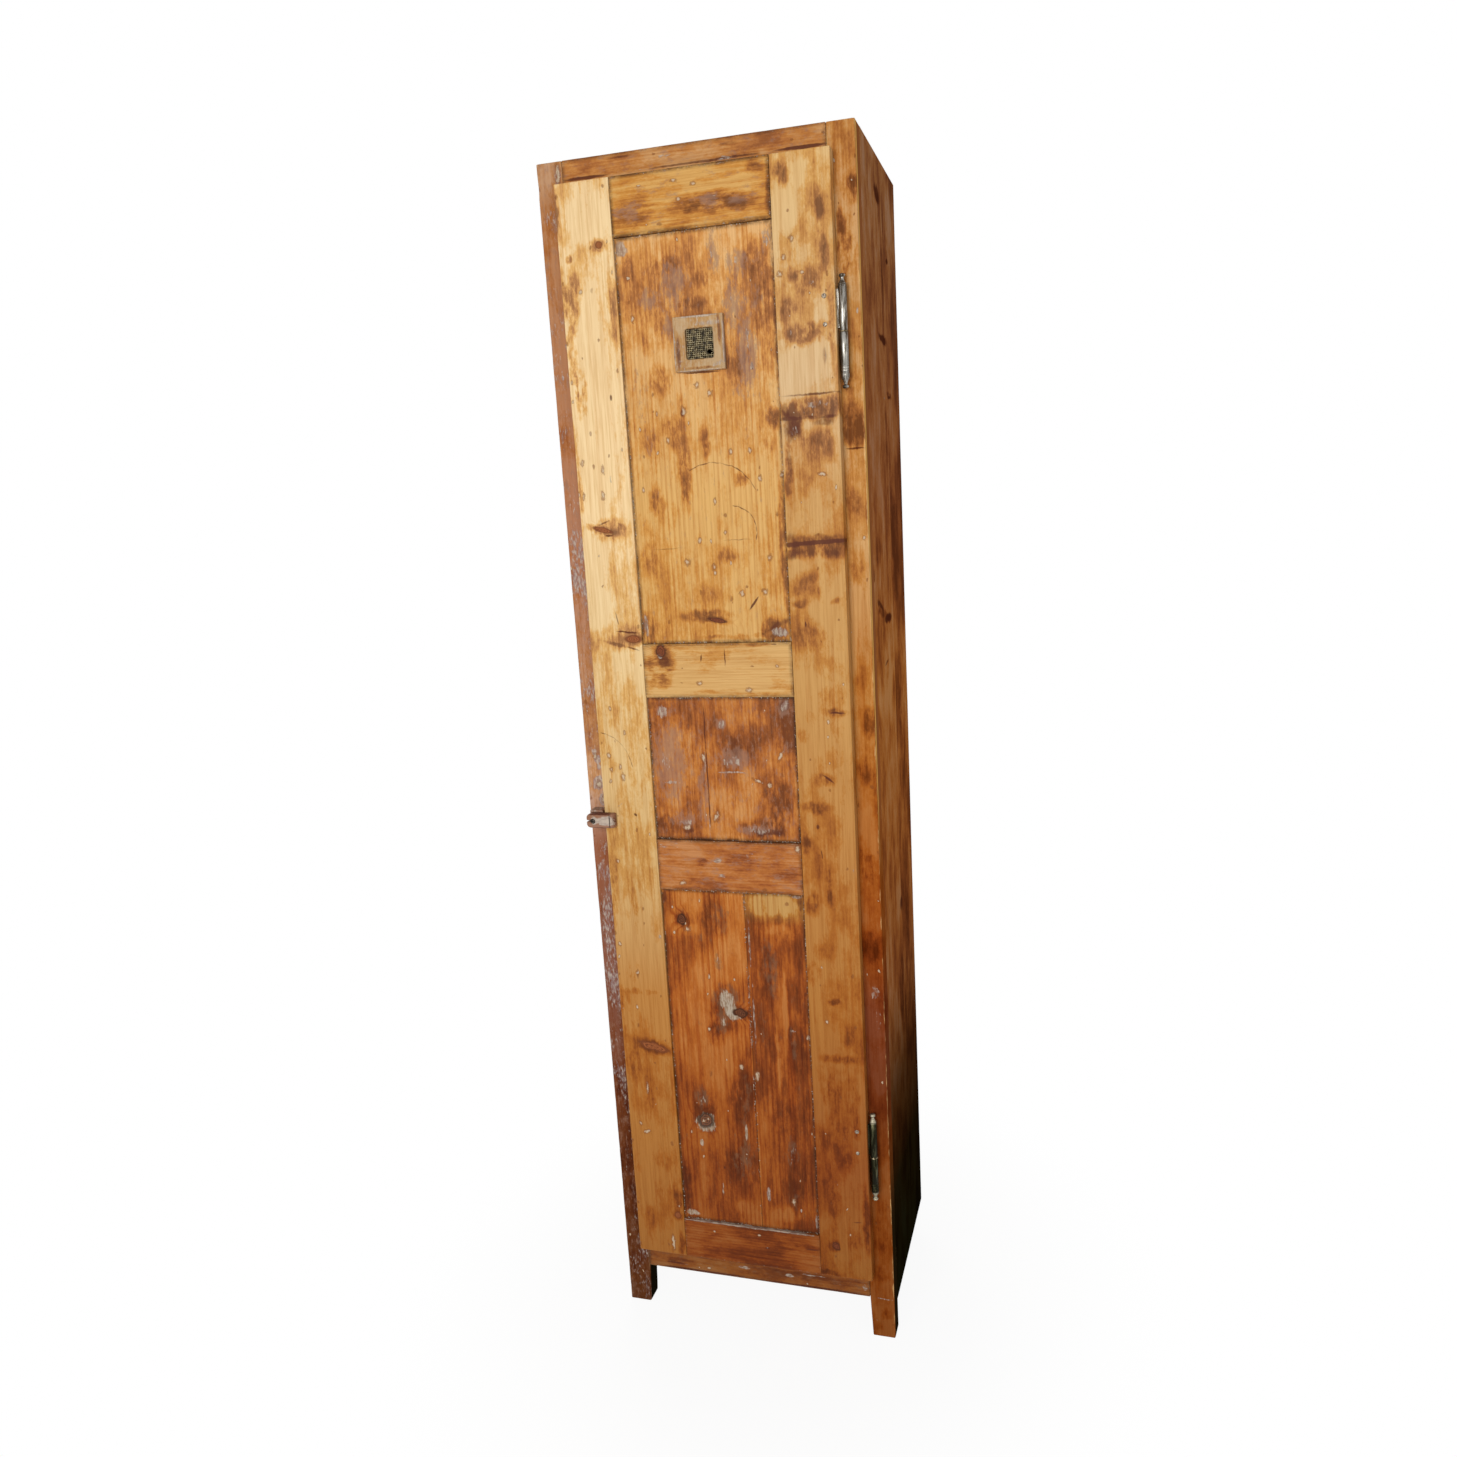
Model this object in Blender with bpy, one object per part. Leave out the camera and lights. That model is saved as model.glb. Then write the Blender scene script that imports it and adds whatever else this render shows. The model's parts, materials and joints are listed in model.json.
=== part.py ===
"""A tall, narrow wooden clothes locker with one framed and panelled door.

The carcass is four posts joined by tenoned rails and closed with planks. The door lies on the
front of the carcass, hangs on two lift-off hinges at its right edge and is held shut by a wooden
turn button on the left post. Metres, +Z up, the front faces -Y, and the origin is on the floor in
the middle of the object's box.
"""
from math import cos, pi, radians, sin

import bmesh
import bpy
from mathutils import Vector

# Carcass
WIDTH = 0.482
DEPTH = 0.310
HEIGHT = 1.900
FIT = 0.0003
POST_WIDTH = 0.041
POST_DEPTH = 0.032
FOOT_HEIGHT = 0.073
FOOT_TIP_WIDTH = 0.038
BACK_POST = 0.030
RAIL_THICKNESS = 0.025
TOP_RAIL_HEIGHT = 0.055
BOTTOM_RAIL_HEIGHT = 0.060
RAIL_TENON = 0.022
RAIL_SHOULDER = 0.007
BACK_RAIL_HEIGHT = 0.050
BACK_RAIL_TENON = 0.015
SIDE_THICKNESS = 0.015
SIDE_BOTTOM = 0.051
SIDE_FRONT_BOARD = 0.158
BACK_THICKNESS = 0.012
BACK_BOARD_NAMES = ("back_board_left", "back_board_middle", "back_board_right")
BOARD_THICKNESS = 0.015
CLEAT_THICKNESS = 0.018
CLEAT_HEIGHT = 0.022

# Hat shelf and coat pegs
SHELF_DROP = 0.210
PEG_RAIL_DROP = 0.060
PEG_RAIL_HEIGHT = 0.070
PEG_RAIL_THICKNESS = 0.018
PEG_SPACING = 0.170
PEG_LENGTH = 0.075
PEG_RADIUS = 0.007
PEG_KNOB_RADIUS = 0.012
PEG_KNOB_LENGTH = 0.016
PEG_SPIGOT = 0.012
PEG_KNOB_SHAPE = ((0.0, 0.0), (0.7, 0.10), (1.0, 0.35), (1.0, 0.55))
PEG_TILT = radians(12)

# Door
DOOR_THICKNESS = 0.020
DOOR_LEFT_LAP = 0.006
DOOR_RIGHT_LAP = 0.009
DOOR_TOP_REVEAL = 0.0375
DOOR_BOTTOM_REVEAL = 0.046
STILE_WIDTH = 0.087
DOOR_TOP_RAIL_HEIGHT = 0.083
MIDDLE_RAIL_HEIGHT = 0.084
DOOR_BOTTOM_RAIL_HEIGHT = 0.072
UPPER_MIDDLE_RAIL_RISE = 1.0253
LOWER_MIDDLE_RAIL_RISE = 0.7105
DOOR_TENON = 0.040
PANEL_THICKNESS = 0.008
PANEL_RECESS = 0.004
PANEL_TONGUE = 0.005
TENON_STEP = 0.001
LOWER_PANEL_SEAM = 0.020

# Vent in the upper panel
VENT_DROP = 0.2395
VENT_SHIFT = 0.0035
VENT_HOLE = 0.043
TRIM_WIDTH = 0.017
TRIM_BEAD = 0.005
TRIM_OUTER_HEIGHT = 0.008
TRIM_INNER_HEIGHT = 0.005
TRIM_CHAMFER = 0.0015
MESH_COLUMNS = 15
MESH_ROWS = 16
MESH_WIRE = 0.0010
MESH_THICKNESS = 0.0010
MESH_LAP = 0.006

# Hinges
HINGE_OFFSET = 0.0085
UPPER_HINGE_DROP = 0.2405
LOWER_HINGE_RISE = 0.223
BARREL_RADIUS = 0.006
BARREL_LENGTH = 0.061
FINIAL_LENGTH = 0.0155
FINIAL_NECK_RADIUS = 0.0027
FINIAL_KNOB_RADIUS = 0.0052
FINIAL_KNOB_SHAPE = ((0.0, 0.0), (0.75, 0.05), (1.0, 0.17), (0.8, 0.30))
FINIAL_NECK_SHAPE = ((1.0, 0.42), (1.0, 0.62))
FINIAL_COLLAR_SHAPE = ((0.92, 0.90),)
GROOVE_DEPTH = 0.0005
GROOVE_WIDTH = 0.0012
GROOVE_FROM_END = 0.018
PIN_RADIUS = 0.003
PIN_REACH = 0.050
RING_RADIUS = 0.0064
RING_THICKNESS = 0.0016
LEAF_THICKNESS = 0.0025
LEAF_HEIGHT = 0.052
LEAF_DEPTH = 0.026
LEAF_ROOT = 0.0045
NAIL_INSET = 0.016
NAIL_RISES = (0.010, 0.048)
NAIL_HEAD_RADIUS = 0.0035
NAIL_HEAD_HEIGHT = 0.0012
NAIL_RADIUS = 0.0013
NAIL_LENGTH = 0.015

# Turn button
BUTTON_RISE = 0.784
BUTTON_PIVOT_INSET = 0.0205
BUTTON_HEEL = 0.012
BUTTON_REACH = 0.0405
BUTTON_HEIGHT = 0.0235
BUTTON_THICKNESS = 0.014
BUTTON_ROUND = 0.007
BUTTON_SPLIT = 0.0012
PACKER_WIDTH = 0.022
PACKER_HEIGHT = 0.029
PACKER_PROUD = 0.0005
SCREW_RADIUS = 0.0022
SCREW_HEAD_RADIUS = 0.0042
SCREW_HEAD_HEIGHT = 0.0022
SCREW_SLOT_WIDTH = 0.0009
SCREW_SLOT_DEPTH = 0.0010
SCREW_GRIP = 0.018

# A domed nail or screw head: shares of its radius, and of its height down from the top
HEAD_SHAPE = ((0.0, 0.0), (0.65, 0.15), (1.0, 0.65), (1.0, 1.0))

# Facets of the turned pieces and of one rounded corner, and how their meshes are finished
BARREL_SIDES = 20
SMALL_SIDES = 12
PEG_SIDES = 16
CORNER_STEPS = 4
SHARP_ANGLE = radians(35)
MERGE_DISTANCE = 1e-6

# Planes, edges and axes that several pieces share
HALF = WIDTH / 2
PACKER_THICKNESS = DOOR_THICKNESS + PACKER_PROUD
FRONT_REACH = FIT + PACKER_THICKNESS + FIT + BUTTON_THICKNESS + FIT + SCREW_HEAD_HEIGHT
FRONT = (FRONT_REACH - DEPTH) / 2
BACK = FRONT + DEPTH
POST_BACK = FRONT + POST_DEPTH
RAIL_BACK = FRONT + RAIL_THICKNESS
BACK_POST_REAR = BACK - BACK_THICKNESS - FIT
BACK_POST_FACE = BACK_POST_REAR - BACK_POST
POST_INNER = HALF - POST_WIDTH
SIDE_INNER = HALF - SIDE_THICKNESS
BACK_POST_OUTER = SIDE_INNER - FIT
BACK_POST_INNER = BACK_POST_OUTER - BACK_POST
FLOOR_TOP = FOOT_HEIGHT + BOTTOM_RAIL_HEIGHT
SHELF_TOP = HEIGHT - SHELF_DROP
PEG_RAIL_TOP = SHELF_TOP - PEG_RAIL_DROP
DOOR_LEFT = -POST_INNER - DOOR_LEFT_LAP
DOOR_RIGHT = POST_INNER + DOOR_RIGHT_LAP
DOOR_BOTTOM = FOOT_HEIGHT + DOOR_BOTTOM_REVEAL
DOOR_TOP = HEIGHT - DOOR_TOP_REVEAL
DOOR_BACK = FRONT - FIT
DOOR_FACE = DOOR_BACK - DOOR_THICKNESS
DOOR_SHOULDER = PANEL_TONGUE + TENON_STEP
STILE_LEFT_INNER = DOOR_LEFT + STILE_WIDTH
STILE_RIGHT_INNER = DOOR_RIGHT - STILE_WIDTH
PANEL_MIDDLE = (STILE_LEFT_INNER + STILE_RIGHT_INNER) / 2
PANEL_FACE = DOOR_FACE + PANEL_RECESS
PANEL_BACK = PANEL_FACE + PANEL_THICKNESS
VENT_X = PANEL_MIDDLE + VENT_SHIFT
VENT_Z = DOOR_TOP - VENT_DROP
HINGE_X = DOOR_RIGHT + HINGE_OFFSET
HINGE_Y = DOOR_FACE + DOOR_THICKNESS / 2
LOWER_HINGE_Z = DOOR_BOTTOM + LOWER_HINGE_RISE
UPPER_HINGE_Z = DOOR_TOP - UPPER_HINGE_DROP
BORE_RADIUS = PIN_RADIUS + FIT
BUTTON_X = -HALF + BUTTON_PIVOT_INSET
BUTTON_Z = DOOR_BOTTOM + BUTTON_RISE
PACKER_FACE = FRONT - FIT - PACKER_THICKNESS
BUTTON_BACK = PACKER_FACE - FIT
BUTTON_FACE = BUTTON_BACK - BUTTON_THICKNESS
SIDES = (("left", -1), ("right", 1))
FACING_FRONT = (pi / 2, 0.0, 0.0)

# Finishes: colour, roughness, metallic value
PALE_PINE = ((0.66, 0.43, 0.17), 0.50, 0.0)
GOLD_PINE = ((0.50, 0.25, 0.07), 0.45, 0.0)
BROWN_PINE = ((0.30, 0.11, 0.03), 0.45, 0.0)
DARK_PINE = ((0.16, 0.075, 0.03), 0.60, 0.0)
RED_PAINT = ((0.22, 0.075, 0.04), 0.60, 0.0)
GREY_WOOD = ((0.36, 0.26, 0.20), 0.70, 0.0)
WORN_STEEL = ((0.42, 0.42, 0.41), 0.35, 1.0)
BLACK_STEEL = ((0.10, 0.10, 0.09), 0.45, 1.0)
OLD_BRASS = ((0.55, 0.40, 0.16), 0.35, 1.0)


def clear_scene():
    """Removes whatever the file holds, so that the model starts from nothing."""
    for old in list(bpy.data.objects):
        bpy.data.objects.remove(old, do_unlink=True)


def pivot(name, place):
    """An empty on a joint's axis, which carries the pieces that turn about it."""
    axis = bpy.data.objects.new(name, None)
    axis.location = place
    bpy.context.scene.collection.objects.link(axis)
    return axis


def new_material(name, finish):
    """A Principled material for one piece."""
    colour, roughness, metallic = finish
    material = bpy.data.materials.new(name)
    material.use_nodes = True
    shader = material.node_tree.nodes["Principled BSDF"]
    shader.inputs["Base Color"].default_value = (*colour, 1.0)
    shader.inputs["Roughness"].default_value = roughness
    shader.inputs["Metallic"].default_value = metallic
    return material


def add_object(name, bm, place, finish, carrier=None, turn=(0.0, 0.0, 0.0)):
    """Makes a named object of a bmesh, at its place, with a material of its own."""
    mesh = bpy.data.meshes.new(name)
    bm.to_mesh(mesh)
    bm.free()
    piece = bpy.data.objects.new(name, mesh)
    bpy.context.scene.collection.objects.link(piece)
    piece.parent = carrier
    piece.location = Vector(place) - (carrier.location if carrier else Vector())
    piece.rotation_euler = turn
    if finish:
        mesh.materials.append(new_material(name, finish))
    return piece


def block(low, high):
    """A box of the size between two corners, around its own middle."""
    bm = bmesh.new()
    bmesh.ops.create_cube(bm, size=1.0)
    bmesh.ops.scale(bm, vec=Vector(high) - Vector(low), verts=bm.verts)
    return bm


def middle(low, high):
    """The point halfway between two corners."""
    return (Vector(low) + Vector(high)) / 2


def board(name, low, high, finish, carrier=None):
    """A plain sawn piece between two corners."""
    return add_object(name, block(low, high), middle(low, high), finish, carrier)


def tenoned_rail(name, low, high, tenon, shoulder, finish, carrier=None):
    """A rail along X with a shouldered tenon on each end."""
    bm = block(low, high)
    ends = [face for face in bm.faces if abs(face.normal.x) > 0.5]
    bmesh.ops.inset_individual(bm, faces=ends, thickness=shoulder, use_even_offset=True)
    for face in bmesh.ops.extrude_discrete_faces(bm, faces=ends)["faces"]:
        side = 1 if face.calc_center_median().x > 0 else -1
        bmesh.ops.translate(bm, vec=(side * tenon, 0.0, 0.0), verts=face.verts)
    bmesh.ops.recalc_face_normals(bm, faces=bm.faces)
    return add_object(name, bm, middle(low, high), finish, carrier)


def extruded(name, outline, axis, start, end, finish, carrier=None, place=(0.0, 0.0, 0.0)):
    """A flat outline swept along one axis. Its points hold the two other coordinates, in order."""
    bm = bmesh.new()
    corners = [Vector(point[:axis] + (start,) + point[axis:]) for point in outline]
    face = bm.faces.new([bm.verts.new(corner) for corner in corners])
    swept = bmesh.ops.extrude_face_region(bm, geom=[face])["geom"]
    reach = Vector([end - start if index == axis else 0.0 for index in range(3)])
    far = [part for part in swept if isinstance(part, bmesh.types.BMVert)]
    bmesh.ops.translate(bm, vec=reach, verts=far)
    bmesh.ops.recalc_face_normals(bm, faces=bm.faces)
    return add_object(name, bm, place, finish, carrier)


def turned(name, profile, place, sides, finish, carrier=None, turn=(0.0, 0.0, 0.0)):
    """A turned piece about its own Z. The profile lists radius and height down its outer side."""
    bm = bmesh.new()
    verts = [bm.verts.new((radius, 0.0, height)) for radius, height in profile]
    edges = [bm.edges.new(pair) for pair in zip(verts, verts[1:])]
    bmesh.ops.spin(bm, geom=verts + edges, axis=(0, 0, 1), cent=(0, 0, 0), angle=2 * pi, steps=sides)
    bmesh.ops.remove_doubles(bm, verts=bm.verts, dist=MERGE_DISTANCE)
    bmesh.ops.recalc_face_normals(bm, faces=bm.faces)
    piece = add_object(name, bm, place, finish, carrier, turn)
    piece.data.shade_smooth()
    piece.data.set_sharp_from_angle(angle=SHARP_ANGLE)
    return piece


def domed(shape, radius, length, top):
    """Profile points of a knob or head, from shares of its radius and of its length below the top."""
    return [(radius * out, top - length * down) for out, down in shape]


def combine(piece, tool, operation):
    """Adds a Boolean modifier and puts its tool out of sight."""
    modifier = piece.modifiers.new(tool.name, "BOOLEAN")
    modifier.operation = operation
    modifier.solver = "EXACT"
    modifier.object = tool
    tool.hide_render = True
    tool.display_type = "WIRE"


def cut(piece, label, low, high, fit=FIT):
    """Cuts a slot, groove or mortise for what lies between two corners, with a fit all round."""
    ease = Vector((fit, fit, fit))
    tool = board(f"{piece.name}_{label}", Vector(low) - ease, Vector(high) + ease, None)
    combine(piece, tool, "DIFFERENCE")


def drill(piece, label, radius, place, out, depth, turn=FACING_FRONT):
    """Drills a round hole with its mouth at a place. It starts a little way out of the mouth."""
    profile = [(0.0, out), (radius + FIT, out), (radius + FIT, -depth - FIT), (0.0, -depth - FIT)]
    tool = turned(f"{piece.name}_{label}", profile, place, SMALL_SIDES, None, turn=turn)
    combine(piece, tool, "DIFFERENCE")


def cut_mortises(left_piece, right_piece, rail, low, high, tenon, shoulder):
    """Cuts the mortises that take a rail's two tenons."""
    inset = Vector((0.0, shoulder, shoulder))
    low = Vector(low) + inset
    high = Vector(high) - inset
    cut(left_piece, f"{rail}_mortise", (low.x - tenon, low.y, low.z), (low.x, high.y, high.z))
    cut(right_piece, f"{rail}_mortise", (high.x, low.y, low.z), (high.x + tenon, high.y, high.z))


def build_front_frame():
    """The two front posts with their tapered feet, and the rails between them."""
    posts = {}
    for label, side in SIDES:
        outline = [
            (side * HALF, 0.0),
            (side * HALF, HEIGHT),
            (side * POST_INNER, HEIGHT),
            (side * POST_INNER, FOOT_HEIGHT),
            (side * (HALF - FOOT_TIP_WIDTH), 0.0),
        ]
        finish = RED_PAINT if side < 0 else GOLD_PINE
        posts[label] = extruded(f"front_{label}_post", outline, 1, FRONT, POST_BACK, finish)
    heights = {
        "front_top_rail": (HEIGHT - TOP_RAIL_HEIGHT, HEIGHT),
        "front_bottom_rail": (FOOT_HEIGHT, FLOOR_TOP),
    }
    for name, (bottom, top) in heights.items():
        low = (-POST_INNER + FIT, FRONT, bottom)
        high = (POST_INNER - FIT, RAIL_BACK, top)
        tenoned_rail(name, low, high, RAIL_TENON, RAIL_SHOULDER, BROWN_PINE)
        cut_mortises(posts["left"], posts["right"], name, low, high, RAIL_TENON, RAIL_SHOULDER)
    return posts


def build_back_frame():
    """The two back posts, set inside the side planks, and the rails between them."""
    posts = {}
    for label, side in SIDES:
        edges = sorted((side * BACK_POST_INNER, side * BACK_POST_OUTER))
        low = (edges[0], BACK_POST_FACE, 0.0)
        high = (edges[1], BACK_POST_REAR, HEIGHT)
        posts[label] = board(f"back_{label}_post", low, high, DARK_PINE)
    tops = {
        "back_top_rail": HEIGHT - BOARD_THICKNESS - FIT,
        "back_bottom_rail": FLOOR_TOP - BOARD_THICKNESS - FIT,
    }
    for name, top in tops.items():
        low = (-BACK_POST_INNER + FIT, BACK_POST_REAR - RAIL_THICKNESS, top - BACK_RAIL_HEIGHT)
        high = (BACK_POST_INNER - FIT, BACK_POST_REAR, top)
        tenoned_rail(name, low, high, BACK_RAIL_TENON, RAIL_SHOULDER, DARK_PINE)
        cut_mortises(posts["left"], posts["right"], name, low, high, BACK_RAIL_TENON, RAIL_SHOULDER)


def build_side_boards():
    """Two upright planks on each side, flush with the front posts."""
    seam = POST_BACK + FIT + SIDE_FRONT_BOARD
    spans = {"front": (POST_BACK + FIT, seam), "back": (seam + FIT, BACK)}
    for label, side in SIDES:
        edges = sorted((side * SIDE_INNER, side * HALF))
        for span, (near, far) in spans.items():
            name = f"{label}_side_{span}_board"
            board(name, (edges[0], near, SIDE_BOTTOM), (edges[1], far, HEIGHT), DARK_PINE)


def build_back_boards():
    """Upright planks that close the back between the side planks."""
    count = len(BACK_BOARD_NAMES)
    pitch = 2 * BACK_POST_OUTER / count
    for index, name in enumerate(BACK_BOARD_NAMES):
        left = -BACK_POST_OUTER + index * pitch + (FIT if index else 0.0)
        right = -BACK_POST_OUTER + (index + 1) * pitch
        board(name, (left, BACK - BACK_THICKNESS, SIDE_BOTTOM), (right, BACK, HEIGHT), DARK_PINE)


def build_level(name, top, finish, cleat_label):
    """A board that fills the carcass at one level, notched round the posts, on a cleat each side."""
    right = [
        (POST_INNER - FIT, RAIL_BACK + FIT),
        (POST_INNER - FIT, POST_BACK + FIT),
        (SIDE_INNER - FIT, POST_BACK + FIT),
        (SIDE_INNER - FIT, BACK_POST_FACE - FIT),
        (BACK_POST_INNER - FIT, BACK_POST_FACE - FIT),
        (BACK_POST_INNER - FIT, BACK_POST_REAR),
    ]
    outline = right + [(-x, y) for x, y in reversed(right)]
    bottom = top - BOARD_THICKNESS
    extruded(name, outline, 2, bottom, top, finish)
    cleat_top = bottom - FIT
    for label, side in SIDES:
        edges = sorted((side * (SIDE_INNER - FIT - CLEAT_THICKNESS), side * (SIDE_INNER - FIT)))
        low = (edges[0], POST_BACK + FIT, cleat_top - CLEAT_HEIGHT)
        high = (edges[1], BACK_POST_FACE - FIT, cleat_top)
        board(f"{label}_{cleat_label}_cleat", low, high, DARK_PINE)


def build_pegs():
    """A rail across the back with two turned coat pegs that tilt upwards."""
    low = (-BACK_POST_INNER + FIT, BACK_POST_REAR - PEG_RAIL_THICKNESS, PEG_RAIL_TOP - PEG_RAIL_HEIGHT)
    high = (BACK_POST_INNER - FIT, BACK_POST_REAR, PEG_RAIL_TOP)
    rail = board("peg_rail", low, high, GOLD_PINE)
    shoulder = PEG_LENGTH - PEG_KNOB_LENGTH
    profile = [
        *domed(PEG_KNOB_SHAPE, PEG_KNOB_RADIUS, PEG_KNOB_LENGTH, PEG_LENGTH),
        (PEG_RADIUS, shoulder),
        (PEG_RADIUS, -PEG_SPIGOT),
        (0.0, -PEG_SPIGOT),
    ]
    lean = (pi / 2 - PEG_TILT, 0.0, 0.0)
    for label, side in SIDES:
        place = (side * PEG_SPACING / 2, low[1], PEG_RAIL_TOP - PEG_RAIL_HEIGHT / 2)
        turned(f"{label}_coat_peg", profile, place, PEG_SIDES, GOLD_PINE, turn=lean)
        drill(rail, f"{label}_peg_hole", PEG_RADIUS, place, PEG_RADIUS, PEG_SPIGOT, lean)


def door_rail_heights():
    """Bottom and top of each door rail, from the floor upwards."""
    lower = DOOR_BOTTOM + LOWER_MIDDLE_RAIL_RISE
    upper = DOOR_BOTTOM + UPPER_MIDDLE_RAIL_RISE
    half = MIDDLE_RAIL_HEIGHT / 2
    return {
        "door_bottom_rail": (DOOR_BOTTOM, DOOR_BOTTOM + DOOR_BOTTOM_RAIL_HEIGHT),
        "door_lower_middle_rail": (lower - half, lower + half),
        "door_upper_middle_rail": (upper - half, upper + half),
        "door_top_rail": (DOOR_TOP - DOOR_TOP_RAIL_HEIGHT, DOOR_TOP),
    }


def build_door_frame(door):
    """Two stiles from top to bottom of the door, and four rails tenoned between them."""
    left = board("door_left_stile", (DOOR_LEFT, DOOR_FACE, DOOR_BOTTOM),
                 (STILE_LEFT_INNER, DOOR_BACK, DOOR_TOP), PALE_PINE, door)
    right = board("door_right_stile", (STILE_RIGHT_INNER, DOOR_FACE, DOOR_BOTTOM),
                  (DOOR_RIGHT, DOOR_BACK, DOOR_TOP), PALE_PINE, door)
    rails = []
    for name, (bottom, top) in door_rail_heights().items():
        low = (STILE_LEFT_INNER + FIT, DOOR_FACE, bottom)
        high = (STILE_RIGHT_INNER - FIT, DOOR_BACK, top)
        rails.append(tenoned_rail(name, low, high, DOOR_TENON, DOOR_SHOULDER, GOLD_PINE, door))
        cut_mortises(left, right, name, low, high, DOOR_TENON, DOOR_SHOULDER)
    return left, right, rails


def build_panels(door, left, right, rails):
    """Thin boards held by a tongue in a groove round each opening of the door's frame."""
    seams = {"lower_panel": PANEL_MIDDLE + LOWER_PANEL_SEAM}
    heights = list(door_rail_heights().values())
    panels = {}
    for index, name in enumerate(("lower_panel", "middle_panel", "upper_panel")):
        bottom = heights[index][1] - PANEL_TONGUE
        top = heights[index + 1][0] + PANEL_TONGUE
        low = Vector((STILE_LEFT_INNER - PANEL_TONGUE, PANEL_FACE, bottom))
        high = Vector((STILE_RIGHT_INNER + PANEL_TONGUE, PANEL_BACK, top))
        for piece in (left, right, rails[index], rails[index + 1]):
            cut(piece, f"{name}_groove", low, high)
        if name in seams:
            joint = seams[name]
            board(f"{name}_left", low, (joint, high.y, high.z), BROWN_PINE, door)
            board(f"{name}_right", (joint + FIT, low.y, low.z), high, BROWN_PINE, door)
        else:
            panels[name] = board(name, low, high, BROWN_PINE, door)
    return panels


def build_vent(door, panel):
    """A square hole in the upper panel, a wire mesh over it and a mitred trim round the mesh."""
    reach = VENT_HOLE / 2
    cut(panel, "vent_hole", (VENT_X - reach, PANEL_FACE - FIT, VENT_Z - reach),
        (VENT_X + reach, PANEL_BACK + FIT, VENT_Z + reach), fit=0.0)
    build_mesh(door)
    rebate_height = FIT + MESH_THICKNESS + FIT
    rebate_edge = TRIM_WIDTH - MESH_LAP - FIT
    profile = [
        (0.0, FIT),
        (0.0, TRIM_OUTER_HEIGHT - TRIM_CHAMFER),
        (TRIM_CHAMFER, TRIM_OUTER_HEIGHT),
        (TRIM_BEAD, TRIM_OUTER_HEIGHT),
        (TRIM_WIDTH, TRIM_INNER_HEIGHT),
        (TRIM_WIDTH, rebate_height),
        (rebate_edge, rebate_height),
        (rebate_edge, FIT),
    ]
    outer = reach + TRIM_WIDTH
    for index, label in enumerate(("top", "right", "bottom", "left")):
        bm = bmesh.new()
        ends = []
        for side in (-1, 1):
            points = [(side * (outer - u - FIT), -v, outer - u) for u, v in profile]
            ends.append([bm.verts.new(point) for point in points])
            bm.faces.new(ends[-1])
        for near, far in zip(range(len(profile)), [*range(1, len(profile)), 0]):
            bm.faces.new((ends[0][near], ends[0][far], ends[1][far], ends[1][near]))
        bmesh.ops.recalc_face_normals(bm, faces=bm.faces)
        place = (VENT_X, PANEL_FACE, VENT_Z)
        add_object(f"vent_trim_{label}", bm, place, GREY_WOOD, door, (0.0, index * pi / 2, 0.0))


def mesh_stops(count):
    """Edges of the wires across the hole, from the outer edge of the sheet to its other edge."""
    outer = VENT_HOLE / 2 + MESH_LAP
    pitch = VENT_HOLE / count
    stops = [-outer]
    for index in range(count):
        start = -VENT_HOLE / 2 + index * pitch
        stops += [start + MESH_WIRE / 2, start + pitch - MESH_WIRE / 2]
    return stops + [outer]


def build_mesh(door):
    """A flat wire net with a plain border, which the trim holds against the panel."""
    columns = mesh_stops(MESH_COLUMNS)
    rows = mesh_stops(MESH_ROWS)
    bm = bmesh.new()
    knots = [[bm.verts.new((x, 0.0, z)) for z in rows] for x in columns]
    for i in range(len(columns) - 1):
        for j in range(len(rows) - 1):
            if i % 2 == 0 or j % 2 == 0:
                bm.faces.new((knots[i][j], knots[i + 1][j], knots[i + 1][j + 1], knots[i][j + 1]))
    swept = bmesh.ops.extrude_face_region(bm, geom=bm.faces[:])["geom"]
    far = [part for part in swept if isinstance(part, bmesh.types.BMVert)]
    bmesh.ops.translate(bm, vec=(0.0, -MESH_THICKNESS, 0.0), verts=far)
    bmesh.ops.recalc_face_normals(bm, faces=bm.faces)
    add_object("vent_mesh", bm, (VENT_X, PANEL_FACE - FIT, VENT_Z), BLACK_STEEL, door)


def knuckle_profile(way):
    """A hinge barrel with its bore and finial. Heights run from the joint face, up or down."""
    tip = BARREL_LENGTH + FINIAL_LENGTH
    groove = BARREL_LENGTH - GROOVE_FROM_END
    outline = [
        *domed(FINIAL_KNOB_SHAPE, FINIAL_KNOB_RADIUS, FINIAL_LENGTH, tip),
        *domed(FINIAL_NECK_SHAPE, FINIAL_NECK_RADIUS, FINIAL_LENGTH, tip),
        *domed(FINIAL_COLLAR_SHAPE, BARREL_RADIUS, FINIAL_LENGTH, tip),
        (BARREL_RADIUS, BARREL_LENGTH),
        (BARREL_RADIUS, groove + GROOVE_WIDTH / 2),
        (BARREL_RADIUS - GROOVE_DEPTH, groove),
        (BARREL_RADIUS, groove - GROOVE_WIDTH / 2),
        (BARREL_RADIUS, 0.0),
        (BORE_RADIUS, 0.0),
        (BORE_RADIUS, PIN_REACH + FIT),
        (0.0, PIN_REACH + FIT),
    ]
    return [(radius, way * height) for radius, height in outline]


def add_leaf(knuckle, holder, low, high):
    """Joins a hinge leaf to its barrel and cuts the slot that it is driven into."""
    leaf = board(f"{knuckle.name}_leaf", low, high, None)
    combine(knuckle, leaf, "UNION")
    cut(holder, f"{knuckle.name}_slot", low, high)


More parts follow.
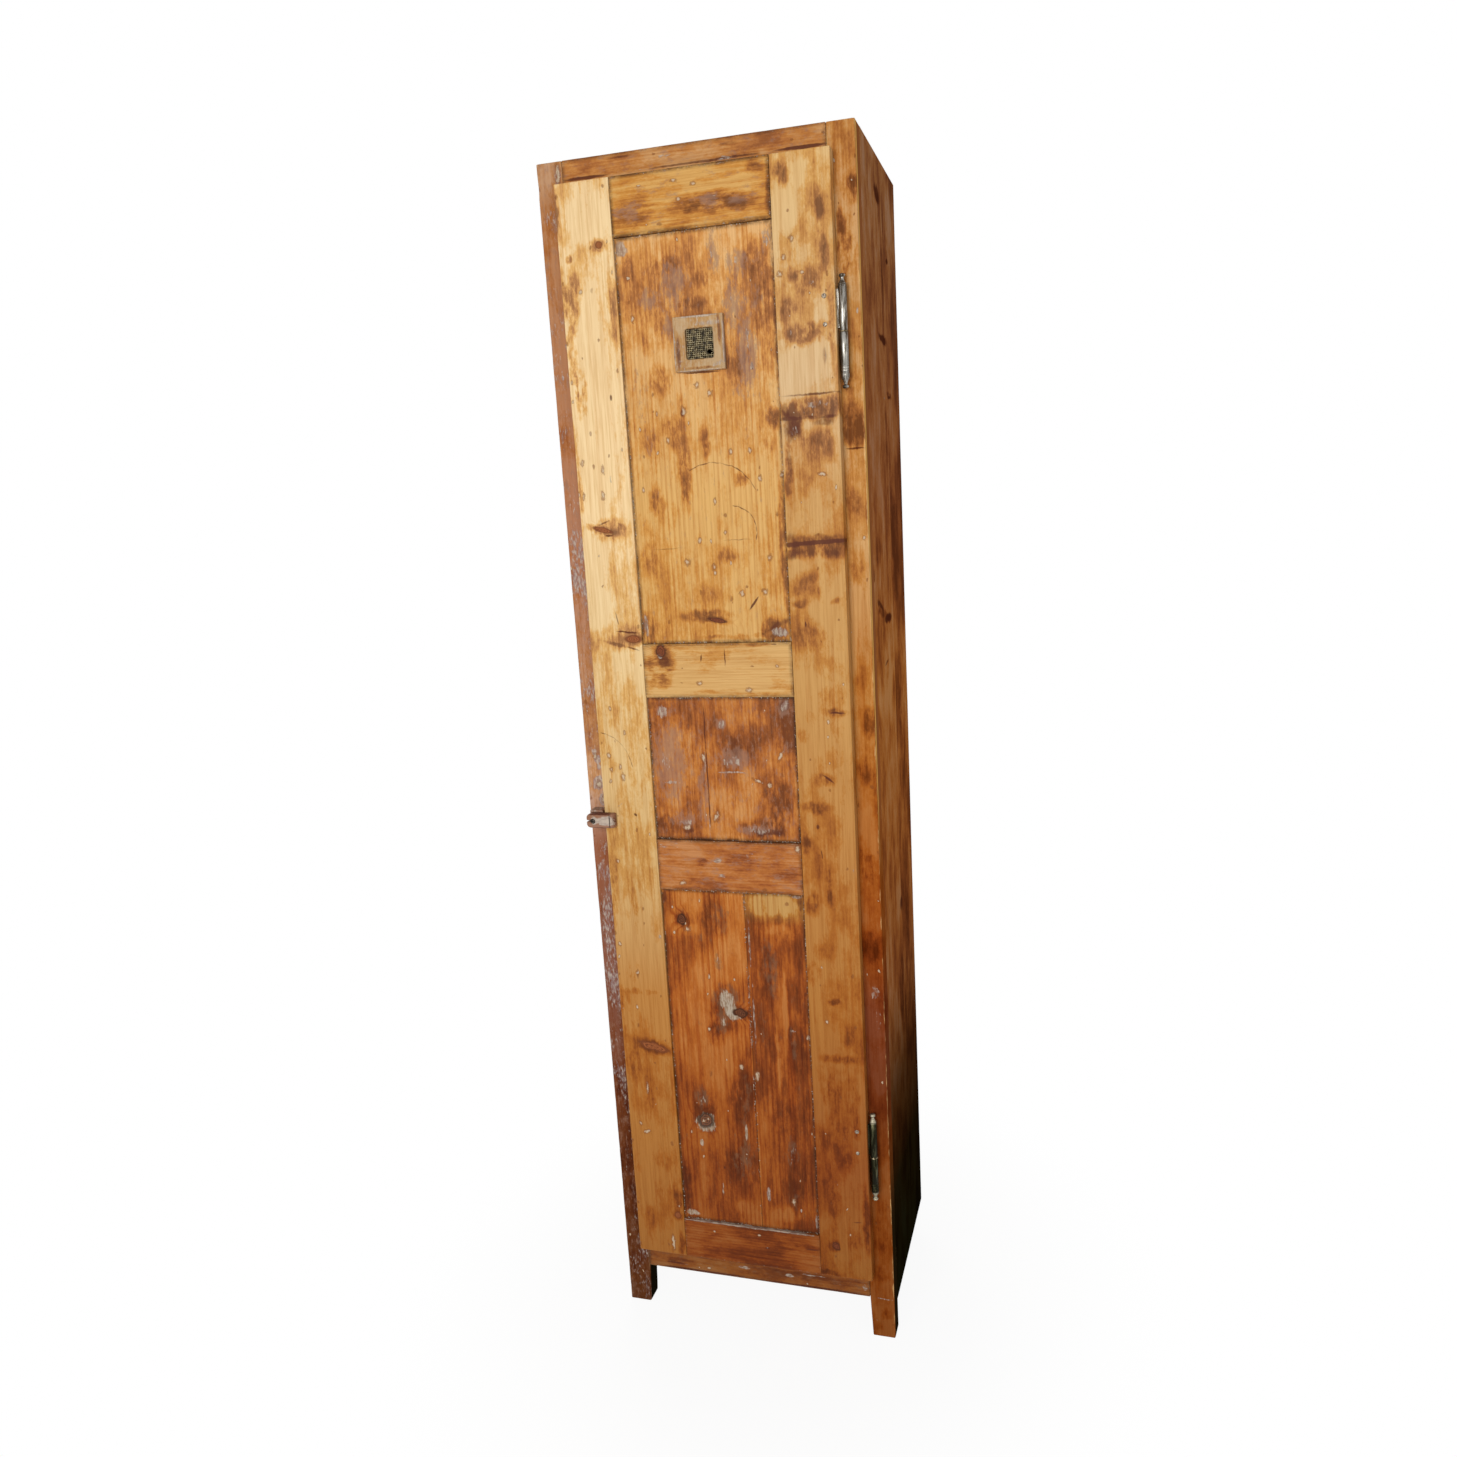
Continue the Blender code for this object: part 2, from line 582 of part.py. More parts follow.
def build_hinge(label, z, door, stile, post):
    """A lift-off hinge: the door's knuckle drops over a pin that stands in the post's knuckle."""
    face = RING_THICKNESS / 2 + FIT
    margin = (BARREL_LENGTH - LEAF_HEIGHT) / 2
    half_leaf = LEAF_THICKNESS / 2

    upper = turned(f"{label}_hinge_door_knuckle", knuckle_profile(1), (HINGE_X, HINGE_Y, z + face),
                   BARREL_SIDES, WORN_STEEL, door)
    bottom = z + face + margin
    add_leaf(upper, stile, (DOOR_RIGHT - LEAF_DEPTH, HINGE_Y - half_leaf, bottom),
             (HINGE_X - LEAF_ROOT, HINGE_Y + half_leaf, bottom + LEAF_HEIGHT))

    lower = turned(f"{label}_hinge_post_knuckle", knuckle_profile(-1), (HINGE_X, HINGE_Y, z - face),
                   BARREL_SIDES, WORN_STEEL)
    top = z - face - margin
    add_leaf(lower, post, (HINGE_X - half_leaf, HINGE_Y + LEAF_ROOT, top - LEAF_HEIGHT),
             (HINGE_X + half_leaf, FRONT + LEAF_DEPTH, top))

    low = -face - PIN_REACH
    pin = [(0.0, PIN_REACH), (PIN_RADIUS * 0.7, PIN_REACH), (PIN_RADIUS, PIN_REACH - PIN_RADIUS * 0.4),
           (PIN_RADIUS, low), (0.0, low)]
    turned(f"{label}_hinge_pin", pin, (HINGE_X, HINGE_Y, z), BARREL_SIDES, WORN_STEEL)

    half_ring = RING_THICKNESS / 2
    ring = [(RING_RADIUS, half_ring), (RING_RADIUS, -half_ring), (BORE_RADIUS, -half_ring),
            (BORE_RADIUS, half_ring), (RING_RADIUS, half_ring)]
    turned(f"{label}_hinge_ring", ring, (HINGE_X, HINGE_Y, z), BARREL_SIDES, OLD_BRASS)

    nail = [
        *domed(HEAD_SHAPE, NAIL_HEAD_RADIUS, NAIL_HEAD_HEIGHT, FIT + NAIL_HEAD_HEIGHT),
        (NAIL_RADIUS, FIT),
        (NAIL_RADIUS, -NAIL_LENGTH),
        (0.0, -NAIL_LENGTH),
    ]
    for height, nail_rise in zip(("low", "high"), NAIL_RISES):
        place = (DOOR_RIGHT - NAIL_INSET, DOOR_FACE, z + nail_rise)
        turned(f"{label}_hinge_{height}_nail", nail, place, SMALL_SIDES, WORN_STEEL, door, FACING_FRONT)
        for piece in (stile, upper):
            drill(piece, f"{label}_{height}_nail_hole", NAIL_RADIUS, place, NAIL_HEAD_HEIGHT, NAIL_LENGTH)


def button_outline():
    """The button from the front: square at the end that laps the door, rounded at its heel."""
    half = BUTTON_HEIGHT / 2
    outline = [(BUTTON_REACH, -half), (BUTTON_REACH, half)]
    for start, way in ((pi / 2, 1), (pi, -1)):
        centre_z = way * (half - BUTTON_ROUND)
        for step in range(CORNER_STEPS + 1):
            angle = start + step * pi / 2 / CORNER_STEPS
            x = -BUTTON_HEEL + BUTTON_ROUND + BUTTON_ROUND * cos(angle)
            outline.append((x, centre_z + BUTTON_ROUND * sin(angle)))
    return outline


def build_turn_button(post):
    """A wooden button that turns on one screw, over a packer as thick as the door."""
    pivot_place = (BUTTON_X, BUTTON_BACK, BUTTON_Z)
    axis = pivot("turn_button_axis", pivot_place)
    packer = board("button_packer",
                   (BUTTON_X - PACKER_WIDTH / 2, PACKER_FACE, BUTTON_Z - PACKER_HEIGHT / 2),
                   (BUTTON_X + PACKER_WIDTH / 2, FRONT - FIT, BUTTON_Z + PACKER_HEIGHT / 2), GREY_WOOD)
    button = extruded("turn_button", button_outline(), 1, 0.0, -BUTTON_THICKNESS, GREY_WOOD, axis,
                      pivot_place)
    cut(button, "split", (BUTTON_X - BUTTON_HEEL - FIT, BUTTON_FACE - FIT, BUTTON_Z - BUTTON_SPLIT / 2),
        (BUTTON_X, BUTTON_BACK + FIT, BUTTON_Z + BUTTON_SPLIT / 2), fit=0.0)
    grip = FRONT + SCREW_GRIP - BUTTON_FACE
    screw_profile = [
        *domed(HEAD_SHAPE, SCREW_HEAD_RADIUS, SCREW_HEAD_HEIGHT, FIT + SCREW_HEAD_HEIGHT),
        (SCREW_RADIUS, FIT),
        (SCREW_RADIUS, -grip),
        (0.0, -grip),
    ]
    head = (BUTTON_X, BUTTON_FACE, BUTTON_Z)
    screw = turned("button_screw", screw_profile, head, SMALL_SIDES, BLACK_STEEL, turn=FACING_FRONT)
    head_front = BUTTON_FACE - FIT - SCREW_HEAD_HEIGHT
    cut(screw, "slot", (BUTTON_X - SCREW_HEAD_RADIUS, head_front, BUTTON_Z - SCREW_SLOT_WIDTH / 2),
        (BUTTON_X + SCREW_HEAD_RADIUS, head_front + SCREW_SLOT_DEPTH, BUTTON_Z + SCREW_SLOT_WIDTH / 2))
    for piece in (button, packer, post):
        drill(piece, "screw_hole", SCREW_RADIUS, head, SCREW_HEAD_HEIGHT, grip)


def main():
    clear_scene()
    front_posts = build_front_frame()
    build_back_frame()
    build_side_boards()
    build_back_boards()
    build_level("top_board", HEIGHT, DARK_PINE, "top")
    build_level("hat_shelf", SHELF_TOP, GOLD_PINE, "shelf")
    build_level("floor_board", FLOOR_TOP, DARK_PINE, "floor")
    build_pegs()
    door = pivot("door_axis", (HINGE_X, HINGE_Y, DOOR_BOTTOM))
    left_stile, right_stile, rails = build_door_frame(door)
    panels = build_panels(door, left_stile, right_stile, rails)
    build_vent(door, panels["upper_panel"])
    build_hinge("lower", LOWER_HINGE_Z, door, right_stile, front_posts["right"])
    build_hinge("upper", UPPER_HINGE_Z, door, right_stile, front_posts["right"])
    build_turn_button(front_posts["left"])


main()
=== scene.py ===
# %% [markdown]
# # A stripped pine locker
# This lesson dresses a tall, narrow clothes locker. Its construction arrives as a fixed frame of named
# solids, and each step replaces some of them with a worn, detailed piece. Everything is in metres, and
# the front faces -Y.

# %% Load the frame
import json
from collections import namedtuple
from math import cos, pi, radians, sin

import bmesh
import bpy
from mathutils import Matrix, Vector, noise


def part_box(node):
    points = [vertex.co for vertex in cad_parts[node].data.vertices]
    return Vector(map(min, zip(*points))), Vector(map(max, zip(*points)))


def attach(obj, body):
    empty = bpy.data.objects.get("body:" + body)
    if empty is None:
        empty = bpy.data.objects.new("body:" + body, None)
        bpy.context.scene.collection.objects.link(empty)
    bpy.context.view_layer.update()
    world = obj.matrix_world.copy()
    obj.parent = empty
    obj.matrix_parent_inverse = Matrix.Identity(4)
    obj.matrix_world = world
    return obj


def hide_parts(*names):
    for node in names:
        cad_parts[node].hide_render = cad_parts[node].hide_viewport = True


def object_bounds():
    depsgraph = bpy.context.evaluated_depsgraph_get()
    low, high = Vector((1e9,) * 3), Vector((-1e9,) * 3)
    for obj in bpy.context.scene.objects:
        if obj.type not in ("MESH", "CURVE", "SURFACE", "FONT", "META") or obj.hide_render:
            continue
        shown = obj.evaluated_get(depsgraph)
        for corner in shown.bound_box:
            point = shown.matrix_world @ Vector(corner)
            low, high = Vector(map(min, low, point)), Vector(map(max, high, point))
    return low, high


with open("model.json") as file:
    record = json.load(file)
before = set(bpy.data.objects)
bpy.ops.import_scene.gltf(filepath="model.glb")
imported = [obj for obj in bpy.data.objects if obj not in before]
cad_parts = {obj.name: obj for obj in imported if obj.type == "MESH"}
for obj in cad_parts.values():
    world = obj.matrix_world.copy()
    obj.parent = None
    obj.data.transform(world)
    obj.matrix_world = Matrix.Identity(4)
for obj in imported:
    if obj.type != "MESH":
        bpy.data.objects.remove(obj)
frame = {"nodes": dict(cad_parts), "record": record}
CAD_BOX = [list(corner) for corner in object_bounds()]
BODY_OF = {node: body for body, nodes in frame["record"]["behaviour"]["bodies"].items() for node in nodes}
MM = 0.001
LOCKER_HEIGHT = 1.9


def centre(node):
    """The middle of a CAD node's box."""
    low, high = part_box(node)
    return (low + high) / 2


rounded_box = [[round(value, 3) for value in corner] for corner in CAD_BOX]
print("frame:", len(frame["nodes"]), "nodes, box", rounded_box)

# %% [markdown]
# ## The camera
# The picture was taken close to the locker with a wide lens, from the right and from above the middle,
# with the camera tipped a little. An aim point and a roll about the view axis say that more plainly
# than three angles would.

# %% Camera
PICTURE = 1457
FOCAL_PIXELS = 1051
OPTICAL_CENTRE = (801.3, 721.9)
CAMERA_PLACE = Vector((0.5419, -1.6677, 1.3531))
CAMERA_AIM = Vector((0.1317, -0.1565, 1.0645))
CAMERA_ROLL = radians(-2.66)
SENSOR_WIDTH = 36.0


def facing(place, aim):
    """A place with a turn that points -Z at an aim, as cameras and lamps look."""
    turn = (Vector(aim) - Vector(place)).to_track_quat("-Z", "Y").to_matrix().to_4x4()
    return Matrix.Translation(place) @ turn


def add_camera():
    """A still camera whose shift puts the optical centre where the picture has it."""
    data = bpy.data.cameras.new("camera")
    data.sensor_width = SENSOR_WIDTH
    data.lens = SENSOR_WIDTH * FOCAL_PIXELS / PICTURE
    data.shift_x = (PICTURE / 2 - OPTICAL_CENTRE[0]) / PICTURE
    data.shift_y = (OPTICAL_CENTRE[1] - PICTURE / 2) / PICTURE
    camera = bpy.data.objects.new("camera", data)
    camera.matrix_world = facing(CAMERA_PLACE, CAMERA_AIM) @ Matrix.Rotation(CAMERA_ROLL, 4, "Z")
    bpy.context.scene.collection.objects.link(camera)
    bpy.context.scene.camera = camera
    return camera


camera = add_camera()
print("camera right", [round(value, 4) for value in camera.matrix_world.col[0][:3]])

# %% [markdown]
# ## Wiring for node trees
# Materials here are sums and products of many masks. A small class wraps one socket, so that Python's
# own operators add the Math nodes. Every other node comes from one method, which sets it up and then
# fills or links its sockets. Shader trees and Geometry Nodes trees take the same class.


# %% Wire
class Wire:
    """One socket of a node tree. Sums and products of wires add Math nodes to that tree."""

    def __init__(self, tree, socket=None):
        self.tree = tree
        self.socket = socket

    def node(self, kind, settings=(), sockets=(), output=0):
        """Adds a node of any type, sets it up, fills or links its sockets and returns one output."""
        made = self.tree.nodes.new(kind)
        for key, value in dict(settings).items():
            if key == "stops":
                fill_ramp(made.color_ramp, value)
            else:
                setattr(made, key, value)
        for key, value in dict(sockets).items():
            if isinstance(value, Wire):
                self.tree.links.new(value.socket, made.inputs[key])
            else:
                made.inputs[key].default_value = value
        return Wire(self.tree, made.outputs[output] if made.outputs else None)

    def other(self, output):
        """Another output of the node that this wire leaves."""
        return Wire(self.tree, self.socket.node.outputs[output])

    def math(self, operation, *values):
        return self.node("ShaderNodeMath", {"operation": operation}, enumerate(values))

    def __add__(self, other):
        return self.math("ADD", self, other)

    def __radd__(self, other):
        return self.math("ADD", other, self)

    def __sub__(self, other):
        return self.math("SUBTRACT", self, other)

    def __rsub__(self, other):
        return self.math("SUBTRACT", other, self)

    def __mul__(self, other):
        return self.math("MULTIPLY", self, other)

    def __rmul__(self, other):
        return self.math("MULTIPLY", other, self)

    def __truediv__(self, other):
        return self.math("DIVIDE", self, other)


def fill_ramp(ramp, stops):
    """Sets a colour ramp's stops, each a place from 0 to 1 and a colour."""
    while len(ramp.elements) < len(stops):
        ramp.elements.new(1.0)
    while len(ramp.elements) > len(stops):
        ramp.elements.remove(ramp.elements[-1])
    for element, (place, colour) in zip(ramp.elements, sorted(stops)):
        element.position = place
        element.color = colour


def smooth(value, start, end, low=0.0, high=1.0):
    """A soft step from low to high while a value goes from start to end."""
    sockets = {"Value": value, "From Min": start, "From Max": end, "To Min": low, "To Max": high}
    return value.node("ShaderNodeMapRange", {"interpolation_type": "SMOOTHSTEP"}, sockets)


def mixed(colour, factor, other, blend="MIX"):
    """One colour laid over another. MULTIPLY stains it, and MIX covers it."""
    settings = {"data_type": "RGBA", "blend_type": blend}
    wire = next(part for part in (colour, factor, other) if isinstance(part, Wire))
    return wire.node("ShaderNodeMix", settings, {0: factor, 6: colour, 7: other}, output=2)


def paint(red, green, blue):
    """A colour from its 0 to 255 screen values, as the linear colour that shaders take."""
    shares = [value / 255 for value in (red, green, blue)]
    return (*[s / 12.92 if s <= 0.04045 else ((s + 0.055) / 1.055) ** 2.4 for s in shares], 1.0)


def new_material(name):
    """A material's Principled shader, and a wire into its tree."""
    material = bpy.data.materials.new(name)
    material.use_nodes = True
    return material, material.node_tree.nodes["Principled BSDF"], Wire(material.node_tree)


def feed(shader, **links):
    """Joins wires to the shader's sockets, which are named with _ for a space."""
    for key, wire in links.items():
        wire.tree.links.new(wire.socket, shader.inputs[key.replace("_", " ")])


print("wiring ready")

# %% [markdown]
# ## Stage and light
# The locker stands on a white floor. Rays that come straight from the camera, or by way of polished
# steel, see floor and world as plain white, while a share of the floor's own shade keeps the shadow at
# the feet. One large soft lamp stands in front, a weak one on the right, and one behind.

# %% Stage
WHITE = (1.0, 1.0, 1.0, 1.0)
FLOOR_RADIUS = 5.0
FLOOR_SIDES = 64
FLOOR_WHITE = (0.86, 0.86, 0.86, 1.0)
SHADOW_SHARE = 0.07
SHADOW_REACH = (0.26, 0.75)
AMBIENT = (1.0, 0.98, 0.94, 1.0)
AMBIENT_STRENGTH = 0.30
LAMP_AIM = (0.0, 0.0, 1.0)


def seen_ray(wire):
    """1 for rays from the camera, from a polished face or through glass."""
    from_camera = wire.node("ShaderNodeLightPath", output="Is Camera Ray")
    glossy, through = from_camera.other("Is Glossy Ray"), from_camera.other("Is Transmission Ray")
    return wire.math("MAXIMUM", from_camera, wire.math("MAXIMUM", glossy, through))


def add_floor():
    """A wide round floor whose shade fades to plain white away from the feet."""
    bm = bmesh.new()
    bmesh.ops.create_circle(bm, cap_ends=True, radius=FLOOR_RADIUS, segments=FLOOR_SIDES)
    mesh = bpy.data.meshes.new("floor")
    bm.to_mesh(mesh)
    bm.free()
    floor = bpy.data.objects.new("floor", mesh)
    bpy.context.scene.collection.objects.link(floor)
    material = bpy.data.materials.new("white_floor")
    material.use_nodes = True
    material.node_tree.nodes.clear()
    wire = Wire(material.node_tree)
    here = wire.node("ShaderNodeTexCoord", output="Object")
    away = here.node("ShaderNodeVectorMath", {"operation": "LENGTH"}, {0: here}, output="Value")
    plain = smooth(away, *SHADOW_REACH, low=1 - SHADOW_SHARE) * seen_ray(wire)
    shade = wire.node("ShaderNodeBsdfDiffuse", (), {"Color": FLOOR_WHITE})
    white = wire.node("ShaderNodeEmission", (), {"Color": WHITE, "Strength": 1.0})
    both = wire.node("ShaderNodeMixShader", (), {0: plain, 1: shade, 2: white})
    wire.node("ShaderNodeOutputMaterial", (), {"Surface": both})
    mesh.materials.append(material)


def light_world():
    """A pale even sky that the camera sees as white."""
    world = bpy.data.worlds.new("white_room")
    world.use_nodes = True
    world.node_tree.nodes.clear()
    wire = Wire(world.node_tree)
    dim = wire.node("ShaderNodeBackground", (), {"Color": AMBIENT, "Strength": AMBIENT_STRENGTH})
    white = wire.node("ShaderNodeBackground", (), {"Color": WHITE, "Strength": 1.0})
    both = wire.node("ShaderNodeMixShader", (), {0: seen_ray(wire), 1: dim, 2: white})
    wire.node("ShaderNodeOutputWorld", (), {"Surface": both})
    bpy.context.scene.world = world


def add_lamp(name, place, size, watts, colour):
    """A square soft lamp that faces the middle of the locker."""
    data = bpy.data.lights.new(name, "AREA")
    data.size = size
    data.energy = watts
    data.color = colour
    lamp = bpy.data.objects.new(name, data)
    lamp.matrix_world = facing(place, LAMP_AIM)
    bpy.context.scene.collection.objects.link(lamp)


add_floor()
light_world()
add_lamp("front_lamp", (-0.2, -2.9, 1.6), 1.4, 47.0, (1.0, 0.98, 0.95))
add_lamp("right_lamp", (2.2, -2.4, 1.5), 2.0, 20.0, (1.0, 0.98, 0.96))
add_lamp("back_lamp", (-1.2, 2.6, 2.3), 2.0, 55.0, (1.0, 0.98, 0.96))
bpy.context.scene.view_settings.view_transform = "Standard"
print("stage and", len(bpy.data.lights), "lamps ready")

# %% [markdown]
# ## The look of a board
# Every board is old pine whose paint and stain were scraped back. Its look says its ground colours by
# height, its growth rings, the stain and paint it kept, and its spots: soft ovals, in millimetres, as
# seen from the front or from the right side. Each look says only what differs from this plain one.

# %% Plain look
Spot = namedtuple("Spot", "h v wide tall strength turn", defaults=(1.0, 0.0))
ABSENT = -1.0
GREY_PAINT = paint(136, 116, 106)
FILM = paint(150, 116, 98)
KNOT_DARK = paint(66, 33, 20)
KNOT_RED = paint(128, 66, 38)

PLAIN = {
    "axes": "XYZ", "seed": 1, "ground": ((0, paint(190, 130, 66)),), "spacing": 5.0, "pith": (12, 22),
    "contrast": 0.3, "fibre": 0.7, "wander": 7.0,
    "stain": -0.4, "depth": 0.9, "stains": (), "patch": (26, 50), "streak": 0.7,
    "film": ABSENT, "hazes": (), "haze": FILM, "burns_and_shadows": (),
    "residue": ABSENT, "residues": (), "grey": GREY_PAINT,
    "knots": (), "knot": (KNOT_RED, KNOT_DARK), "dents": (), "flanks": (), "inside": None,
    "pits": 0.3, "joints": 0.0, "worn": 0.0, "rough": 0.46, "specular": 0.1,
}
print("plain look:", len(PLAIN), "values")

# %% [markdown]
# ## Directions of a board
# All marks lie in the board's own directions: across the grain, into the wood and along the grain.
# This class turns Object coordinates into them, frays them, so that no spot has a clean outline, and
# draws the masks that several steps share. Growth rings run round a pith that lies behind the board,
# and knots push them aside.

# %% Board
FAR = 1000.0
FRAY = (12 * MM, 0.0, 18 * MM)
NEAT_BELOW = 12.0
NEAT_SHARE = 0.3
PITH_LEAN = 0.03
KNOT_PUSH = 12 * MM


class Board:
    """The directions of one board, and the masks that lie in them."""

    def __init__(self, wire, look, low, high):
        self.wire = wire
        self.look = look
        self.low, self.high = low, high
        here = wire.node("ShaderNodeTexCoord", output="Object")
        split = wire.node("ShaderNodeSeparateXYZ", (), {"Vector": here}, output="X")
        self.parts = {letter: split.other(letter) for letter in "XYZ"}
        across, deep, along = (self.parts[letter] for letter in look["axes"])
        self.run = wire.node("ShaderNodeCombineXYZ", (), {"X": across, "Y": deep, "Z": along})
        self.upright = look["axes"][2] == "Z"
        sway = self.streaks(18, 30, detail=5.0, rough=0.62, output="Color")
        sockets = {0: sway, 1: FRAY, 2: tuple(-reach / 2 for reach in FRAY)}
        push = sway.node("ShaderNodeVectorMath", {"operation": "MULTIPLY_ADD"}, sockets)
        self.ragged = self.pushed(push, 1.0)
        self.neat = self.pushed(push, NEAT_SHARE)
        self.knot = self.nearest(look["knots"])
        fade = smooth(self.streaks(24, 220, salt=8.0), 0.35, 0.65, 0.25, 1.0)
        self.late = self.growth_rings() * fade
        self.fibre = self.streaks(3.0, 90, detail=4.0, rough=0.65, salt=9.0)
        self.cloud = smooth(self.streaks(*look["patch"], detail=6.0, rough=0.66, salt=2.0), 0.32, 0.68)
        self.drift = smooth(self.streaks(80, 170, salt=7.0), 0.36, 0.64)
        self.comb = self.streaks(4.2, 60, detail=4.0, rough=0.65, salt=4.0)
        self.grit = self.streaks(2.8, 5, detail=3.0, rough=0.65, salt=6.0)

    def pushed(self, push, share):
        """The directions, frayed by a share of a push, and the same with across and along swapped."""
        sockets = {0: push, 1: (share, share, share), 2: self.run}
        frayed = push.node("ShaderNodeVectorMath", {"operation": "MULTIPLY_ADD"}, sockets)
        turned = frayed.node("ShaderNodeSeparateXYZ", (), {"Vector": frayed}, output="X")
        return frayed, frayed.node("ShaderNodeCombineXYZ", (), {"X": turned.other("Z"), "Z": turned})

    def streaks(self, across, along, detail=2.0, rough=0.5, output="Fac", salt=0.0):
        """Noise drawn out along the grain. The sizes are those of one patch, in millimetres."""
        shift = self.look["seed"] * 3.17 + salt
        size = (1 / (across * MM), 1 / (across * MM), 1 / (along * MM))
        place = {"Vector": self.run, "Location": (shift, -shift, shift * 0.7), "Scale": size}
        moved = self.run.node("ShaderNodeMapping", (), place)
        sockets = {"Vector": moved, "Scale": 1.0, "Detail": detail, "Roughness": rough}
        return moved.node("ShaderNodeTexNoise", (), sockets, output)

    def growth_rings(self):
        """Late wood lines, 0 between them and 1 on them."""
        look = self.look
        middle = [(near + far) / 2 for near, far in zip(self.low, self.high)]
        across, deep, along = (middle["XYZ".index(letter)] for letter in look["axes"])
        pith = (across + look["pith"][0] * MM, deep + look["pith"][1] * MM, along)
        from_pith = self.run.node("ShaderNodeVectorMath", {"operation": "SUBTRACT"}, {0: self.run, 1: pith})
        sockets = {0: from_pith, 1: (1, 1, PITH_LEAN)}
        flat = from_pith.node("ShaderNodeVectorMath", {"operation": "MULTIPLY"}, sockets)
        radius = flat.node("ShaderNodeVectorMath", {"operation": "LENGTH"}, {0: flat}, output="Value")
        radius = radius + self.streaks(45, 420, salt=5.0) * (look["wander"] * 2 * MM)
        if look["knots"]:
            radius = radius + smooth(self.knot, 3.4, 0.4, 0.0, KNOT_PUSH)
        ring = self.run.math("FRACT", radius / (look["spacing"] * MM))
        return smooth(ring, 0.42, 0.90) * smooth(ring, 1.0, 0.92)

    def nearness(self, spot):
        """Distance from a spot's middle, where 1 is its edge. Turned spots mix the two directions."""
        c, s = cos(radians(spot.turn)), sin(radians(spot.turn))
        half_wide, half_tall = spot.wide / 2 * MM, spot.tall / 2 * MM
        rows = [(c / half_wide, s / half_wide), (-s / half_tall, c / half_tall)]
        start = [-(row[0] * spot.h + row[1] * spot.v) * MM for row in rows]
        straight, crossed = (rows[0][0], rows[1][1]), (rows[0][1], rows[1][0])
        if not self.upright:
            start, straight, crossed = start[::-1], straight[::-1], crossed[::-1]
        offset = (start[0], 0.0, start[1])
        frayed, swapped = self.neat if min(spot.wide, spot.tall) < NEAT_BELOW else self.ragged
        if spot.turn:
            offset = self.stretched(swapped, crossed, offset)
        place = self.stretched(frayed, straight, offset)
        return place.node("ShaderNodeVectorMath", {"operation": "LENGTH"}, {0: place}, output="Value")

    def stretched(self, vector, factors, offset):
        """A vector times two factors, for across and along, plus an offset."""
        sockets = {0: vector, 1: (factors[0], 0.0, factors[1]), 2: offset}
        return self.run.node("ShaderNodeVectorMath", {"operation": "MULTIPLY_ADD"}, sockets)

    def field(self, start, spots):
        """A base value plus every spot's strength where the spot lies."""
        total = start
        for entry in spots:
            spot = Spot(*entry)
            total = total + smooth(self.nearness(spot), 1.0, 0.3, 0.0, spot.strength)
        return total

    def nearest(self, spots):
        """Distance from the nearest of some spots, where 1 is its edge."""
        nearest = FAR
        for entry in spots:
            nearest = self.run.math("MINIMUM", self.nearness(Spot(*entry)), nearest)
        return nearest

    def edge_distances(self):
        """Distance from the board's faces, one for each of X, Y and Z."""
        apart = []
        for letter, low, high in zip("XYZ", self.low, self.high):
            offset = self.run.math("ABSOLUTE", self.parts[letter] - (low + high) / 2)
            apart.append((high - low) / 2 - offset)
        return apart

    def arris_distance(self):
        """Distance from the nearest long edge: the middle one of the three distances."""
        x, y, z = self.edge_distances()
        lower = self.run.math("MINIMUM", x, y)
        upper = self.run.math("MAXIMUM", x, y)
        return self.run.math("MAXIMUM", lower, self.run.math("MINIMUM", upper, z))

    def border_distance(self):
        """Distance from the outline of the face that shows, for a panel in the XZ plane."""
        x, _, z = self.edge_distances()
        return self.run.math("MINIMUM", x, z)


print("board directions ready")

# %% [markdown]
# ## Wood, stain, fire and painted shade
# The finish is built up in the order in which it happened. Late wood, fibres and stain tint the ground
# colour, so they are multiplied in. A dull film and dark marks cover what lies below, so they mix. The
# dark marks are scorches, and also painted shadow lines along gaps and edges.

# %% Wood and stain
LATE_TINT = (0.76, 0.56, 0.38, 1.0)
FIBRE_TINT = (0.80, 0.69, 0.55, 1.0)
STAIN_STEPS = (
    (0.0, WHITE), (0.28, (0.88, 0.70, 0.44, 1.0)), (0.46, (0.74, 0.53, 0.34, 1.0)),
    (0.62, (0.55, 0.36, 0.25, 1.0)), (1.0, (0.29, 0.18, 0.14, 1.0)),
)
# One dark brown for burn marks and for painted shadow lines along gaps and edges.
BURN_AND_SHADE = paint(84, 40, 25)


def fibred(board, colour):
    """A colour with the board's dark fibres in it."""
    return mixed(colour, smooth(board.fibre, 0.38, 0.68) * board.look["fibre"], FIBRE_TINT, "MULTIPLY")


def bare_wood(board):
    """The ground colour by height, with late wood and fibres."""
    # The ground ramps by height hold the wood's own colour and also painted shade that darkens boards towards
    # the floor.
    stops = [(level * MM / LOCKER_HEIGHT, tone) for level, tone in board.look["ground"]]
    share = board.parts["Z"] / LOCKER_HEIGHT
    colour = share.node("ShaderNodeValToRGB", {"stops": stops}, {"Fac": share}, "Color")
    colour = mixed(colour, board.late * board.look["contrast"], LATE_TINT, "MULTIPLY")
    return fibred(board, colour)


def stained(board, colour):
    """Brown stain in patches, in streaks, round the knots and in the look's own spots."""
    look = board.look
    mottle = smooth(board.streaks(9, 22, detail=5.0, rough=0.66, salt=22.0), 0.32, 0.68, 0.4, 1.4)
    stain = (board.cloud * 0.5 + board.drift * 0.5) * look["depth"] + (board.comb - 0.4) * look["streak"]
    stain = stain + board.late * 0.08 + (board.grit - 0.5) * 0.45 + look["stain"]
    stain = stain + board.field(0.0, look["stains"]) * mottle
    if look["knots"]:
        stain = stain + smooth(board.knot, 2.6, 0.9, 0.0, 0.4)
    tint = stain.node("ShaderNodeValToRGB", {"stops": STAIN_STEPS}, {"Fac": stain}, "Color")
    return mixed(colour, 1.0, tint, "MULTIPLY")


